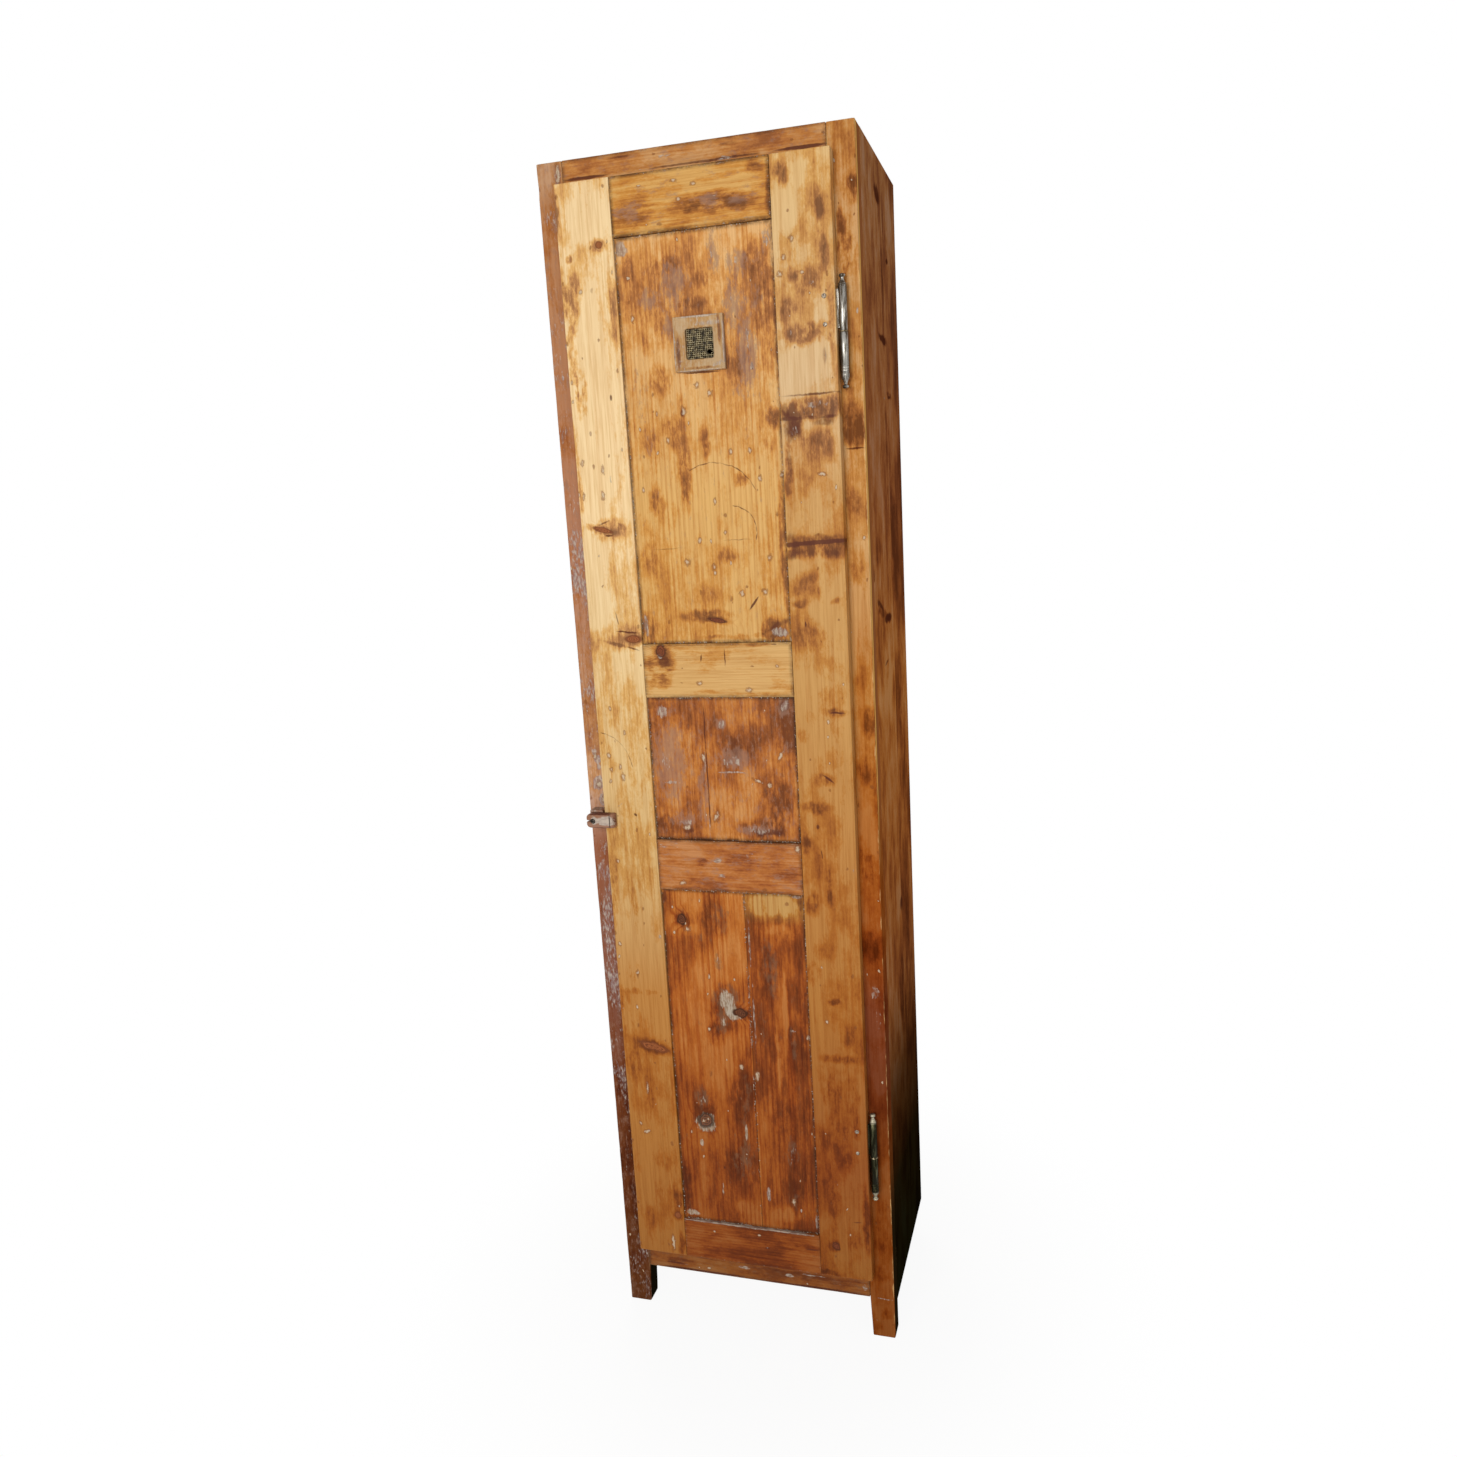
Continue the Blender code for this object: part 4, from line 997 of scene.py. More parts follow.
# %% Panel looks
UPPER_PANEL = {
    "seed": 23, "spacing": 7.0, "contrast": 0.4, "pith": (2, 16), "stain": -0.34, "streak": 1.0,
    "patch": (22, 40),
    "ground": (
        (1190, paint(210, 166, 101)), (1400, paint(214, 169, 102)), (1560, paint(218, 174, 114)),
        (1760, paint(224, 178, 120))),
    "pits": 0.26, "joints": 0.85, "residue": -0.66, "film": -0.45, "depth": 0.65,
    "haze": paint(140, 112, 98),
    "stains": [
        (0, 1690, 330, 230, 0.32), (-10, 1640, 260, 100, 0.12), (110, 1640, 56, 340, 0.4),
        (-62, 1575, 56, 66, 0.55), (60, 1590, 80, 90, 0.5), (-30, 1610, 30, 60, -0.25),
        (-95, 1640, 26, 90, -0.15), (-30, 1540, 18, 56, 0.45), (-45, 1500, 66, 66, 0.5),
        (-85, 1490, 44, 66, 0.4), (2, 1485, 24, 70, 0.6), (-32, 1437, 36, 140, 0.6),
        (-80, 1400, 38, 70, 0.55), (58, 1426, 36, 32, 0.6), (100, 1490, 44, 110, 0.4),
        (-10, 1228, 130, 26, 0.6), (96, 1205, 66, 48, 0.75), (-106, 1212, 40, 66, 0.5),
        (116, 1330, 16, 280, 0.5), (30, 1318, 56, 30, 0.4), (-95, 1330, 56, 130, 0.3),
        (40, 1195, 170, 12, 0.4), (-10, 1260, 60, 60, 0.25), (45, 1265, 20, 30, 0.35),
        (-45, 1735, 70, 36, 0.35), (20, 1712, 60, 26, 0.3), (92, 1730, 50, 60, 0.35),
        (110, 1512, 26, 44, 0.6), (-100, 1735, 30, 60, 0.3), (0, 1680, 60, 20, 0.3)],
    "knots": [(6, 1221, 28, 6, 1, -10)],
    # The lines beside the vent frame's left, lower and right edges are painted shadow of the frame on the
    # panel.
    "burns_and_shadows": [
        (-35, 1623, 2.4, 84, 0.9), (5, 1583, 84, 4, 1.0), (46, 1600, 3, 60, 0.6), (4, 1222, 34, 9, 0.7),
        (66, 1246, 5, 32, 1.3, -36), (-30, 1528, 8, 16, 0.9), (102, 1212, 56, 14, 0.7, 26),
        (42, 1340, 66, 2.2, 0.7), (-68, 1331, 90, 2.0, 0.5), *arc(12, 1382, 72, 22, 122, 0.75),
        *arc(38, 1352, 38, -20, 88, 0.75)],
    "dents": [
        (15, 1553, 7, 10), (-5, 1566, 7, 9), (42, 1468, 6, 9), (72, 1468, 6, 8), (-55, 1490, 7, 9),
        (-37, 1310, 9, 10), (6, 1301, 7, 10), (94, 1312, 7, 11), (84, 1262, 7, 10), (48, 1260, 7, 9),
        (-98, 1667, 7, 10), (13, 1398, 5, 9), (-15, 1342, 6, 9), (85, 1428, 6, 9), (118, 1430, 5, 9),
        (-28, 1530, 8, 14), (-70, 1530, 4, 7), (-100, 1420, 4, 8), (27, 1352, 5, 6)],
    "hazes": [
        (32, 1745, 24, 90, 1.0), (66, 1730, 60, 56, 0.9), (-30, 1714, 70, 76, 1.0),
        (-72, 1695, 44, 50, 0.8), (-40, 1682, 110, 40, 0.5), (57, 1672, 46, 110, 1.0),
        (76, 1610, 50, 130, 1.1), (-44, 1648, 36, 60, 0.7), (90, 1680, 50, 70, 0.5),
        (70, 1555, 60, 70, 0.5), (-95, 1560, 36, 140, 0.4), (-85, 1490, 36, 70, 0.5),
        (-112, 1720, 24, 130, 0.4), (106, 1740, 30, 80, 0.5)],
    "residues": [
        (-108, 1762, 28, 40, 1.4), (30, 1745, 8, 40, 0.9), (66, 1732, 16, 18, 0.9), (56, 1680, 12, 36, 0.8),
        (76, 1622, 14, 50, 1.0), (82, 1585, 14, 22, 1.4), (106, 1201, 40, 22, 1.6),
        (-112, 1212, 16, 60, 1.1), (112, 1760, 24, 44, 0.9)],
}
MIDDLE_PANEL = {
    "seed": 29, "spacing": 6.0, "contrast": 0.35, "pith": (-20, 18), "stain": -0.12, "streak": 1.0,
    "patch": (26, 44), "depth": 0.95, "film": -0.12, "ground": ((0, paint(200, 142, 84)),), "pits": 0.28,
    "joints": 1.0, "residue": -0.43, "grey": paint(140, 112, 100), "haze": paint(148, 114, 96),
    "stains": [
        (22, 1020, 90, 100, 0.38), (110, 1050, 40, 130, 0.45), (-108, 960, 34, 210, 0.3),
        (60, 893, 140, 44, 0.55), (-72, 1025, 90, 130, -0.38), (85, 935, 80, 120, 0.74),
        (-10, 945, 50, 60, -0.3), (70, 928, 24, 60, -0.4), (-60, 980, 44, 100, -0.1),
        (-100, 895, 56, 44, 0.5), (60, 1070, 66, 34, -0.2)],
    "burns_and_shadows": [
        (-26, 1060, 3.0, 100, 1.1), (-26, 985, 3.0, 110, 1.2), (-26, 920, 3.0, 100, 1.1),
        (-62, 888, 34, 16, 0.8), (70, 887, 90, 16, 0.7), (106, 1088, 30, 28, 0.7),
        (-112, 1090, 20, 28, 0.7), (28, 1025, 56, 56, 0.35)],
    "dents": [
        (-31, 1006, 9, 14), (57, 970, 18, 5, 1, -24), (75, 964, 8, 10), (-15, 910, 10, 20, 1, -30),
        (-65, 892, 18, 10), (95, 1010, 6, 20, 1, -20)],
    "hazes": [
        (22, 1005, 76, 50, 0.9), (-88, 1000, 80, 170, 0.85), (-34, 950, 24, 130, 0.7),
        (2, 1060, 26, 26, 0.8), (50, 890, 100, 24, 0.7), (105, 1085, 40, 40, 0.8), (-70, 905, 60, 40, 0.6)],
    "residues": [
        (-95, 1078, 30, 30, 1.2), (2, 1060, 18, 20, 1.0), (18, 983, 70, 4, 1.7), (15, 1000, 56, 26, 0.8),
        (-65, 900, 30, 20, 1.2), (50, 890, 80, 16, 0.8), (106, 1088, 18, 24, 1.4), (-85, 965, 40, 8, 0.9),
        (-98, 1000, 24, 50, 0.6), (-29, 1000, 3, 50, 1.4), (-28, 900, 3, 60, 1.2)],
}
LOWER_LEFT = {
    "seed": 31, "spacing": 7.5, "contrast": 0.9, "pith": (-72, 12), "stain": -0.18, "streak": 1.0,
    "patch": (22, 60), "depth": 0.75, "film": -0.55, "haze": paint(112, 82, 60),
    "grey": paint(148, 128, 106), "knot": (paint(116, 68, 44), paint(48, 28, 18)),
    "ground": (
        (200, paint(160, 96, 44)), (400, paint(172, 106, 50)), (600, paint(188, 120, 60)),
        (780, paint(196, 132, 70))),
    "pits": 0.26, "joints": 0.9, "residue": -0.62, "wander": 5.0,
    "stains": [
        (-30, 740, 76, 100, 0.45), (-78, 742, 50, 50, 0.4), (-60, 700, 90, 50, 0.15),
        (-25, 570, 70, 100, 0.55), (-42, 540, 34, 66, 0.5), (-70, 405, 50, 100, 0.55),
        (0, 430, 66, 150, 0.5), (-5, 300, 96, 130, 0.45), (-112, 250, 24, 140, 0.6),
        (-20, 495, 20, 120, -0.5), (12, 665, 36, 90, -0.25), (-95, 590, 44, 240, -0.12),
        (-75, 270, 26, 110, -0.4), (0, 225, 90, 40, -0.3), (-55, 760, 20, 60, -0.2), (4, 579, 34, 20, 0.5),
        (-16, 605, 60, 80, 0.4)],
    "knots": [(-87, 735, 15, 15), (-69, 380, 25, 24), (5, 579, 24, 13, 0.8, -6)],
    "burns_and_shadows": [
        (-87, 735, 13, 14, 1.0), (-69, 380, 16, 16, 1.0), (-72, 418, 20, 48, 0.5), (-114, 775, 16, 34, 0.7),
        (12, 600, 28, 34, 0.4), (-40, 295, 5, 7, 0.9)],
    "hazes": [
        (-28, 668, 20, 60, 0.9), (-16, 598, 80, 100, 0.9), (-26, 556, 34, 60, 0.9), (-72, 424, 32, 66, 1.2),
        (-5, 310, 56, 110, 0.8), (3, 365, 14, 90, 0.7), (-55, 706, 70, 24, 0.6), (10, 430, 40, 120, 0.6),
        (-50, 530, 14, 70, 0.7), (-20, 740, 40, 80, 0.5)],
    "dents": [
        (1, 483, 8, 12), (-78, 720, 12, 10), (-45, 640, 4, 10), (-95, 355, 5, 8), (-72, 378, 8, 6),
        (-64, 383, 5, 6)],
    "residues": [
        (-16, 600, 36, 52, 1.9), (-4, 577, 46, 32, 2.0), (5, 579, 34, 19, -5.0, -6),
        (-28, 668, 10, 30, 1.0), (-72, 418, 18, 40, 0.9), (-69, 376, 58, 56, 1.6), (-78, 338, 11, 20, 1.6),
        (-5, 310, 26, 50, 0.7), (3, 365, 8, 50, 1.1), (-45, 255, 6, 56, 1.1), (-104, 203, 36, 16, 1.5),
        (-26, 560, 20, 26, 0.8)],
}
LOWER_RIGHT = {
    "seed": 37, "spacing": 7.0, "contrast": 0.75, "pith": (84, 16), "stain": -0.06, "streak": 1.0,
    "patch": (18, 60), "depth": 0.9, "film": -0.55, "haze": paint(110, 80, 60),
    "ground": (
        (200, paint(164, 100, 46)), (500, paint(176, 110, 54)), (690, paint(184, 116, 58)),
        (734, paint(188, 122, 62)), (750, paint(192, 149, 88))),
    "pits": 0.26, "joints": 0.9, "residue": -0.62,
    "stains": [
        (52, 767, 64, 56, -0.8), (84, 767, 70, 52, -0.8), (75, 722, 100, 60, -0.35),
        (55, 650, 50, 150, 0.5), (108, 480, 30, 520, 0.25), (90, 545, 26, 90, 0.55),
        (82, 600, 12, 170, -0.65), (66, 500, 12, 170, -0.6), (70, 400, 90, 100, 0.3),
        (85, 290, 56, 150, 0.3), (65, 222, 80, 44, -0.45), (80, 725, 70, 30, -0.25)],
    "burns_and_shadows": [(114, 772, 16, 38, 0.8), (108, 545, 6, 22, 0.7), (117, 620, 8, 14, 0.8)],
    "dents": [(80, 246, 9, 16), (28, 470, 9, 22), (117, 545, 5, 9)],
    "hazes": [
        (60, 660, 40, 140, 0.9), (82, 330, 30, 120, 0.7), (92, 535, 16, 100, 0.9), (40, 560, 16, 120, 0.5),
        (95, 440, 24, 80, 0.5), (85, 250, 24, 60, 0.6)],
    "residues": [
        (110, 783, 26, 9, 1.6), (28, 560, 6, 200, 1.0), (27, 700, 6, 130, 0.9), (36, 255, 10, 40, 1.3),
        (91, 232, 5, 10, 1.6), (82, 330, 20, 90, 0.6), (117, 215, 6, 44, 1.5), (92, 555, 18, 7, 1.1)],
}
PANELS = {
    "upper_panel": UPPER_PANEL, "middle_panel": MIDDLE_PANEL,
    "lower_panel_left": LOWER_LEFT, "lower_panel_right": LOWER_RIGHT,
}
print("panel looks:", len(PANELS))

# %% [markdown]
# ## The panels in their frame
# Each panel is cut back to what shows between its stiles and rails. The upper one has a square hole for
# the vent, cut with a Boolean modifier that is applied at once.

# %% Panels
PANEL_WEAR = 0.5
PANEL_SPANS = {
    "upper_panel": {"below": "door_upper_middle_rail", "above": "door_top_rail", **BETWEEN_STILES},
    "middle_panel": {
        "below": "door_lower_middle_rail", "above": "door_upper_middle_rail", **BETWEEN_STILES,
    },
    "lower_panel_left": {
        "below": "door_bottom_rail", "above": "door_lower_middle_rail", "left": "door_left_stile",
    },
    "lower_panel_right": {
        "below": "door_bottom_rail", "above": "door_lower_middle_rail", "right": "door_right_stile",
    },
}
LOWER_OUTLINE = (
    trimmed("lower_panel_left", **PANEL_SPANS["lower_panel_left"])[0],
    trimmed("lower_panel_right", **PANEL_SPANS["lower_panel_right"])[1],
)
VENT_LOW, VENT_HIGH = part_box("vent_mesh")


def add_block(bm, low, high):
    """Adds a plain block between two corners."""
    made = bmesh.ops.create_cube(bm, size=1.0)["verts"]
    bmesh.ops.scale(bm, vec=Vector(high) - Vector(low), verts=made)
    bmesh.ops.translate(bm, vec=(Vector(high) + Vector(low)) / 2, verts=made)


def cut_away(piece, tool):
    """Takes a tool's shape out of a piece, and then removes the tool."""
    modifier = piece.modifiers.new("cut", "BOOLEAN")
    modifier.object = tool
    settle(piece)
    bpy.data.objects.remove(tool, do_unlink=True)


def cut_vent(panel):
    """Cuts the square hole that the mesh covers."""
    lap = VENT_HIGH.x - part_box("vent_trim_right")[0].x
    bm = bmesh.new()
    add_block(bm, (VENT_LOW.x + lap, VENT_LOW.y - 20 * MM, VENT_LOW.z + lap),
              (VENT_HIGH.x - lap, VENT_HIGH.y + 30 * MM, VENT_HIGH.z - lap))
    cut_away(panel, new_piece("vent_cutter", bm))


for node, look in PANELS.items():
    span = trimmed(node, **PANEL_SPANS[node])
    outline = LOWER_OUTLINE if node.startswith("lower") else None
    panel = lay_board(node, {**look, "inside": UNSTRIPPED}, PANEL_WEAR, span, outline=outline)
    if node == "upper_panel":
        cut_vent(panel)
print("panels:", len(PANELS), "boards")

# %% [markdown]
# ## The front posts
# The left post kept most of its red-brown paint, and cream filler where an older catch was. The right
# one is golden, with a red patch near the lower hinge and a pale rubbed outer edge. The feet taper on
# the inside, so the rings of the posts narrow there.

# %% Posts
# Near-black painted shade for the lower sides and feet of the posts.
FLOOR_SHADE = paint(22, 24, 13)
PURPLE_GREY = paint(150, 132, 132)
FOOT_HEIGHT = 73 * MM
FOOT_TAPER = 3 * MM
LEFT_POST = {
    "seed": 41, "specular": 0.0, "spacing": 6.0, "contrast": 0.18, "fibre": 0.35, "stain": -0.4,
    "streak": 0.6,
    "ground": (
        (0, paint(101, 64, 43)), (300, paint(112, 69, 49)), (620, paint(134, 84, 66)),
        (850, paint(150, 94, 68)), (960, paint(211, 175, 151)), (1080, paint(190, 146, 114)),
        (1300, paint(178, 126, 98)), (1845, paint(183, 132, 92)), (1872, paint(192, 150, 116))),
    "grey": PURPLE_GREY, "residue": -0.16, "pits": 0.3, "worn": 0.35, "film": -0.1,
    # The flank tone below 110 mm is painted shade on the foot's inner side.
    "flanks": [(FLOOR_SHADE, 60, 110, FAR)],
    "stains": [(-222, 300, 60, 500, 0.2), (-222, 1250, 60, 240, 0.25)],
    "residues": [
        (-222, 650, 60, 260, 0.5), (-222, 800, 60, 160, 0.35), (-222, 1310, 60, 240, 0.4),
        (-222, 1120, 60, 120, 0.2), (-215, 1640, 6, 12, 1.5), (-226, 1595, 5, 9, 1.5),
        (-222, 1000, 16, 20, 1.8), (-207, 1880, 16, 40, 0.9), (-226, 1010, 10, 14, 1.8),
        (-220, 985, 8, 14, 1.6), (-213, 996, 8, 12, 1.6), (-222, 958, 22, 26, 2.4),
        (-217, 930, 14, 24, 1.7), (-216, 912, 10, 10, 1.6), (-222, 470, 60, 120, 0.3)],
    "dents": [(-207, 1879, 9, 34), (-222, 956, 10, 12), (-225, 1004, 8, 10), (-216, 930, 6, 12)],
    # The dark oval on the foot at 90 mm is dirt and also painted shade under the carcass.
    "burns_and_shadows": [(-222, 958, 8, 9, 1.2), (-236, 720, 4, 200, 0.5), (-222, 90, 60, 60, 0.4)],
}
RIGHT_POST = {
    "seed": 43, "specular": 0.0, "spacing": 6.0, "contrast": 0.34, "pith": (4, 26), "stain": -0.34,
    "worn": 0.75,
    "ground": (
        (0, paint(144, 84, 40)), (300, paint(146, 86, 42)), (430, paint(122, 66, 40)),
        (600, paint(130, 70, 44)), (700, paint(162, 94, 46)), (900, paint(176, 112, 56)),
        (1100, paint(190, 136, 76)), (1400, paint(208, 166, 114)), (1890, paint(203, 158, 108))),
    "residue": -0.85, "pits": 0.35,
    # The last flank tone, below 420 mm, is painted shade on the post's outer side.
    "flanks": [
        (paint(160, 98, 56), 1000, 820, FAR), (paint(248, 190, 104), 1000, 820, 10), (FLOOR_SHADE, 200, 420, FAR)],
    "stains": [
        (222, 1735, 44, 130, 0.7), (222, 1500, 60, 90, 0.65), (222, 1560, 60, 60, 0.3),
        (232, 1060, 30, 66, 0.5), (222, 980, 34, 66, 0.4), (222, 840, 44, 90, 0.45),
        (222, 700, 44, 90, 0.5), (225, 200, 50, 160, 0.25), (218, 1600, 14, 130, 0.4),
        (231, 1812, 34, 60, 0.75), (228, 1485, 44, 50, 0.5), (216, 1775, 14, 60, 0.4),
        (222, 1390, 40, 50, 0.35), (222, 1290, 40, 60, 0.35), (226, 1850, 14, 40, 0.35),
        (228, 44, 30, 34, 0.4), (214, 18, 20, 26, 0.35), (222, 120, 40, 44, 0.25)],
    # The upright dark lines at 211 and 214 mm beside the two hinges are painted shadow in the gap by the
    # barrels.
    "burns_and_shadows": [
        (225, 1463, 44, 5, 0.8), (222, 1735, 30, 60, 0.35), (214, 345, 10, 170, 0.45),
        (214, 1630, 8, 170, 0.4), (211, 1588, 7, 84, 1.4), (211, 310, 7, 84, 1.2)],
    "residues": [
        (226, 622, 26, 40, 1.2), (230, 580, 16, 60, 0.9), (226, 540, 30, 90, 0.55), (225, 73, 44, 3, 1.4),
        (236, 1650, 6, 12, 1.4)],
}
POSTS = {"front_left_post": LEFT_POST, "front_right_post": RIGHT_POST}


def foot_taper(side):
    """A rule that draws in a post's inner edge below the carcass."""
    def taper(level, edges):
        drawn_in = FOOT_TAPER * max(0.0, 1 - level / FOOT_HEIGHT)
        left, bottom, right, top = edges
        if side < 0:
            right -= drawn_in
        else:
            left += drawn_in
        return left, bottom, right, top
    return taper


for node, look in POSTS.items():
    lay_board(node, look, wear=1.6, taper=foot_taper(-1 if "left" in node else 1))
print("posts:", len(POSTS))

# %% [markdown]
# ## The front rails
# Only a strip of each rail shows above and below the door. The darkest lines along them are painted
# shadow: above the door's top edge, and along the lower edge of the bottom rail.

# %% Front rails
BETWEEN_POSTS = {"left": "front_left_post", "right": "front_right_post"}
FRONT_TOP = {
    "axes": ACROSS, "seed": 47, "spacing": 4.0, "contrast": 0.35, "pith": (-20, 14), "stain": -0.18,
    "streak": 0.6, "ground": ((0, paint(204, 154, 101)),), "film": -0.15, "joints": 0.6, "residue": -0.5,
    "pits": 0.3,
    "stains": [(-130, 1880, 160, 50, 0.22), (-20, 1886, 60, 20, 0.25), (120, 1872, 120, 30, -0.22)],
    # The lines at 1872 mm are painted shadow along the door's top edge.
    "burns_and_shadows": [
        (60, 1890, 60, 8, 0.5), (-110, 1893, 80, 5, 0.5), (165, 1872, 100, 7, 1.2),
        (-160, 1872, 100, 7, 1.1), (20, 1872, 260, 6, 0.9)],
    "residues": [(-70, 1870, 40, 16, 0.8), (50, 1870, 50, 14, 0.8), (-40, 1886, 40, 10, 0.9)],
}
FRONT_BOTTOM = {
    "axes": ACROSS, "seed": 53, "spacing": 5.0, "contrast": 0.4, "pith": (10, 16), "stain": -0.3,
    "streak": 0.5, "ground": ((0, paint(150, 100, 56)),), "film": -0.15, "haze": paint(116, 84, 62),
    "joints": 0.6, "residue": -0.5, "pits": 0.3,
    "stains": [(-140, 88, 90, 30, 0.35), (60, 95, 200, 20, 0.2)],
    # The lines at 76 and 85 mm are painted shadow along the rail's lower edge.
    "burns_and_shadows": [(-100, 76, 220, 6, 1.1), (100, 76, 220, 6, 1.1), (-150, 85, 60, 5, 0.8)],
    "residues": [
        (-25, 95, 40, 10, 1.1), (60, 92, 24, 10, 1.1), (192, 88, 14, 20, 1.3), (100, 98, 60, 5, 0.9)],
}
FRONT_RAILS = {"front_top_rail": FRONT_TOP, "front_bottom_rail": FRONT_BOTTOM}
for node, look in FRONT_RAILS.items():
    lay_board(node, look, wear=0.9, box=trimmed(node, **BETWEEN_POSTS))
print("front rails:", len(FRONT_RAILS))

# %% [markdown]
# ## Side planks
# The side planks are brown and turn almost black towards the floor, which is painted shade. Each
# back plank laps a hair over its neighbour, so that no light comes through the seam.

# %% Sides
SIDEWAYS = "YXZ"
SEAM_LAP = 0.4 * MM
# Ground colours of the sides, with painted shade that turns them almost black towards the floor.
SIDE_GROUND = (
    (60, paint(28, 28, 14)), (250, paint(36, 30, 16)), (420, paint(97, 66, 42)), (600, paint(176, 122, 82)),
    (800, paint(196, 136, 86)), (1100, paint(212, 150, 92)), (1400, paint(192, 136, 98)),
    (1880, paint(194, 148, 115)),
)
SIDE = {
    "axes": SIDEWAYS, "spacing": 6.0, "contrast": 0.35, "ground": SIDE_GROUND, "stain": -0.2, "streak": 0.6,
    "patch": (30, 70), "rough": 0.72, "specular": 0.0, "pits": 0.0,
}
SIDE_MARKS = [
    (14, 1842, 62, 34, 0.9, -12), (88, 1762, 30, 12, 0.9), (30, 1636, 96, 22, 1.1),
    (72, 1553, 46, 9, 0.9, 8), (-60, 1230, 80, 16, 0.8, -20), (5, 1205, 104, 24, 1.1),
    (-106, 1276, 16, 34, 0.9), (44, 706, 44, 40, 0.9), (-20, 1135, 44, 8, 0.7, 12),
]
SIDE_STAINS = [
    (15, 1842, 60, 34, 0.55), (-30, 1740, 40, 120, 0.3), (40, 1700, 24, 260, 0.45),
    (30, 1636, 90, 22, 0.45), (75, 1556, 60, 14, 0.55), (38, 1450, 22, 280, 0.5),
    (85, 1330, 110, 340, 0.34), (-60, 1310, 80, 70, 0.3), (-30, 1215, 150, 18, 0.45, -10),
    (10, 1202, 70, 20, 0.6), (-10, 1110, 110, 170, -0.35), (100, 1080, 70, 300, 0.3),
    (50, 780, 20, 200, 0.4), (30, 560, 60, 200, 0.4), (-30, 480, 90, 60, 0.3), (-105, 1280, 16, 40, 0.5),
    (-108, 1560, 10, 300, 0.3), (110, 700, 90, 500, 0.26), (-60, 720, 80, 160, -0.2),
    (105, 1800, 130, 200, -0.35), (90, 1762, 14, 12, 0.5), (0, 1090, 50, 60, -0.3),
]
SIDES = {
    "right_side_front_board": {
        **SIDE, "seed": 59, "stains": SIDE_STAINS, "burns_and_shadows": SIDE_MARKS,
        "residues": [(30, 1547, 20, 7, 1.3)],
    },
    "right_side_back_board": {
        **SIDE, "seed": 61, "stains": SIDE_STAINS, "burns_and_shadows": SIDE_MARKS, "stain": 0.0,
    },
    "left_side_front_board": {
        **SIDE, "seed": 67, "depth": 0.65, "stains": [(20, 1500, 60, 30, 0.4), (-30, 900, 90, 60, 0.3)],
    },
    "left_side_back_board": {
        **SIDE, "seed": 71, "depth": 0.65, "stains": [(110, 1200, 50, 200, 0.3)], "stain": -0.14,
    },
}


def lapped(node, low_lap, high_lap=(0.0, 0.0, 0.0)):
    """A node's box, moved out at its two corners over the gaps beside it."""
    low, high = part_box(node)
    return list(low + Vector(low_lap)), list(high + Vector(high_lap))


for node, look in SIDES.items():
    span = lapped(node, (0.0, -SEAM_LAP, 0.0)) if "back" in node else None
    lay_board(node, look, box=span)
print("side planks:", len(SIDES))

# %% [markdown]
# ## Back and inside
# The back and the inside were never stripped, so they share one dull brown look, and each board has its
# own seed. Planks and posts of the back also get painted shade that darkens them towards the floor.

# %% Back and inside
BROWN = paint(122, 82, 50)
DULL = {"ground": ((0, BROWN),), "contrast": 0.4, "stain": -0.25, "rough": 0.7, "specular": 0.15, "pits": 0.2}
FIRST_CLEAT_SEED = 121


def floor_shaded_ground(tone):
    """A ground with painted shade, nearly black at the floor, and its own tone from knee height up."""
    return ((60, paint(30, 28, 16)), (360, tone))


PLANK = {**DULL, "joints": 0.7, "depth": 0.7}
BACK_POST = {**DULL, "ground": floor_shaded_ground(BROWN), "specular": 0.0}
BACK = {
    "back_board_left": {**PLANK, "seed": 73, "ground": floor_shaded_ground(paint(110, 74, 46))},
    "back_board_middle": {
        **PLANK, "seed": 79, "knots": [(30, 1400, 18, 22), (-20, 620, 14, 16)],
        "ground": floor_shaded_ground(BROWN),
    },
    "back_board_right": {
        **PLANK, "seed": 83, "knots": [(150, 900, 20, 24)], "ground": floor_shaded_ground(paint(134, 90, 55)),
    },
    "back_left_post": {**BACK_POST, "seed": 89}, "back_right_post": {**BACK_POST, "seed": 97},
}
INNER_RAILS = {
    "back_top_rail": {**DULL, "seed": 101, "axes": ACROSS},
    "back_bottom_rail": {**DULL, "seed": 103, "axes": ACROSS},
    "peg_rail": {**DULL, "seed": 107, "axes": ACROSS, "ground": ((0, paint(176, 118, 62)),)},
}
BETWEEN_BACK_POSTS = {"left": "back_left_post", "right": "back_right_post"}
CLEATS = [f"{side}_{place}_cleat" for place in ("top", "shelf", "floor") for side in ("left", "right")]
for node, look in BACK.items():
    laps = ((-SEAM_LAP, 0.0, 0.0), (SEAM_LAP, 0.0, 0.0))
    lay_board(node, look, box=lapped(node, *laps) if "middle" in node else None)
for node, look in INNER_RAILS.items():
    lay_board(node, look, box=trimmed(node, **BETWEEN_BACK_POSTS) if "back" in node else None)
for seed, node in enumerate(CLEATS, FIRST_CLEAT_SEED):
    lay_board(node, {**DULL, "seed": seed, "axes": "ZXY"})
print("back and inside:", len(BACK) + len(INNER_RAILS) + len(CLEATS), "boards")

# %% [markdown]
# ## Level boards
# Top, shelf and floor have notches for the posts, so rings can't make them. They are copies of their
# solids, whose split corners are merged first, and which then get a bevel.

# %% Level boards
LEVEL = "YZX"
BEVEL = 0.8 * MM
LEVELS = {
    "top_board": {**DULL, "seed": 127, "axes": LEVEL},
    "hat_shelf": {**DULL, "seed": 131, "axes": LEVEL, "ground": ((0, paint(178, 122, 66)),)},
    "floor_board": {**DULL, "seed": 137, "axes": LEVEL},
}


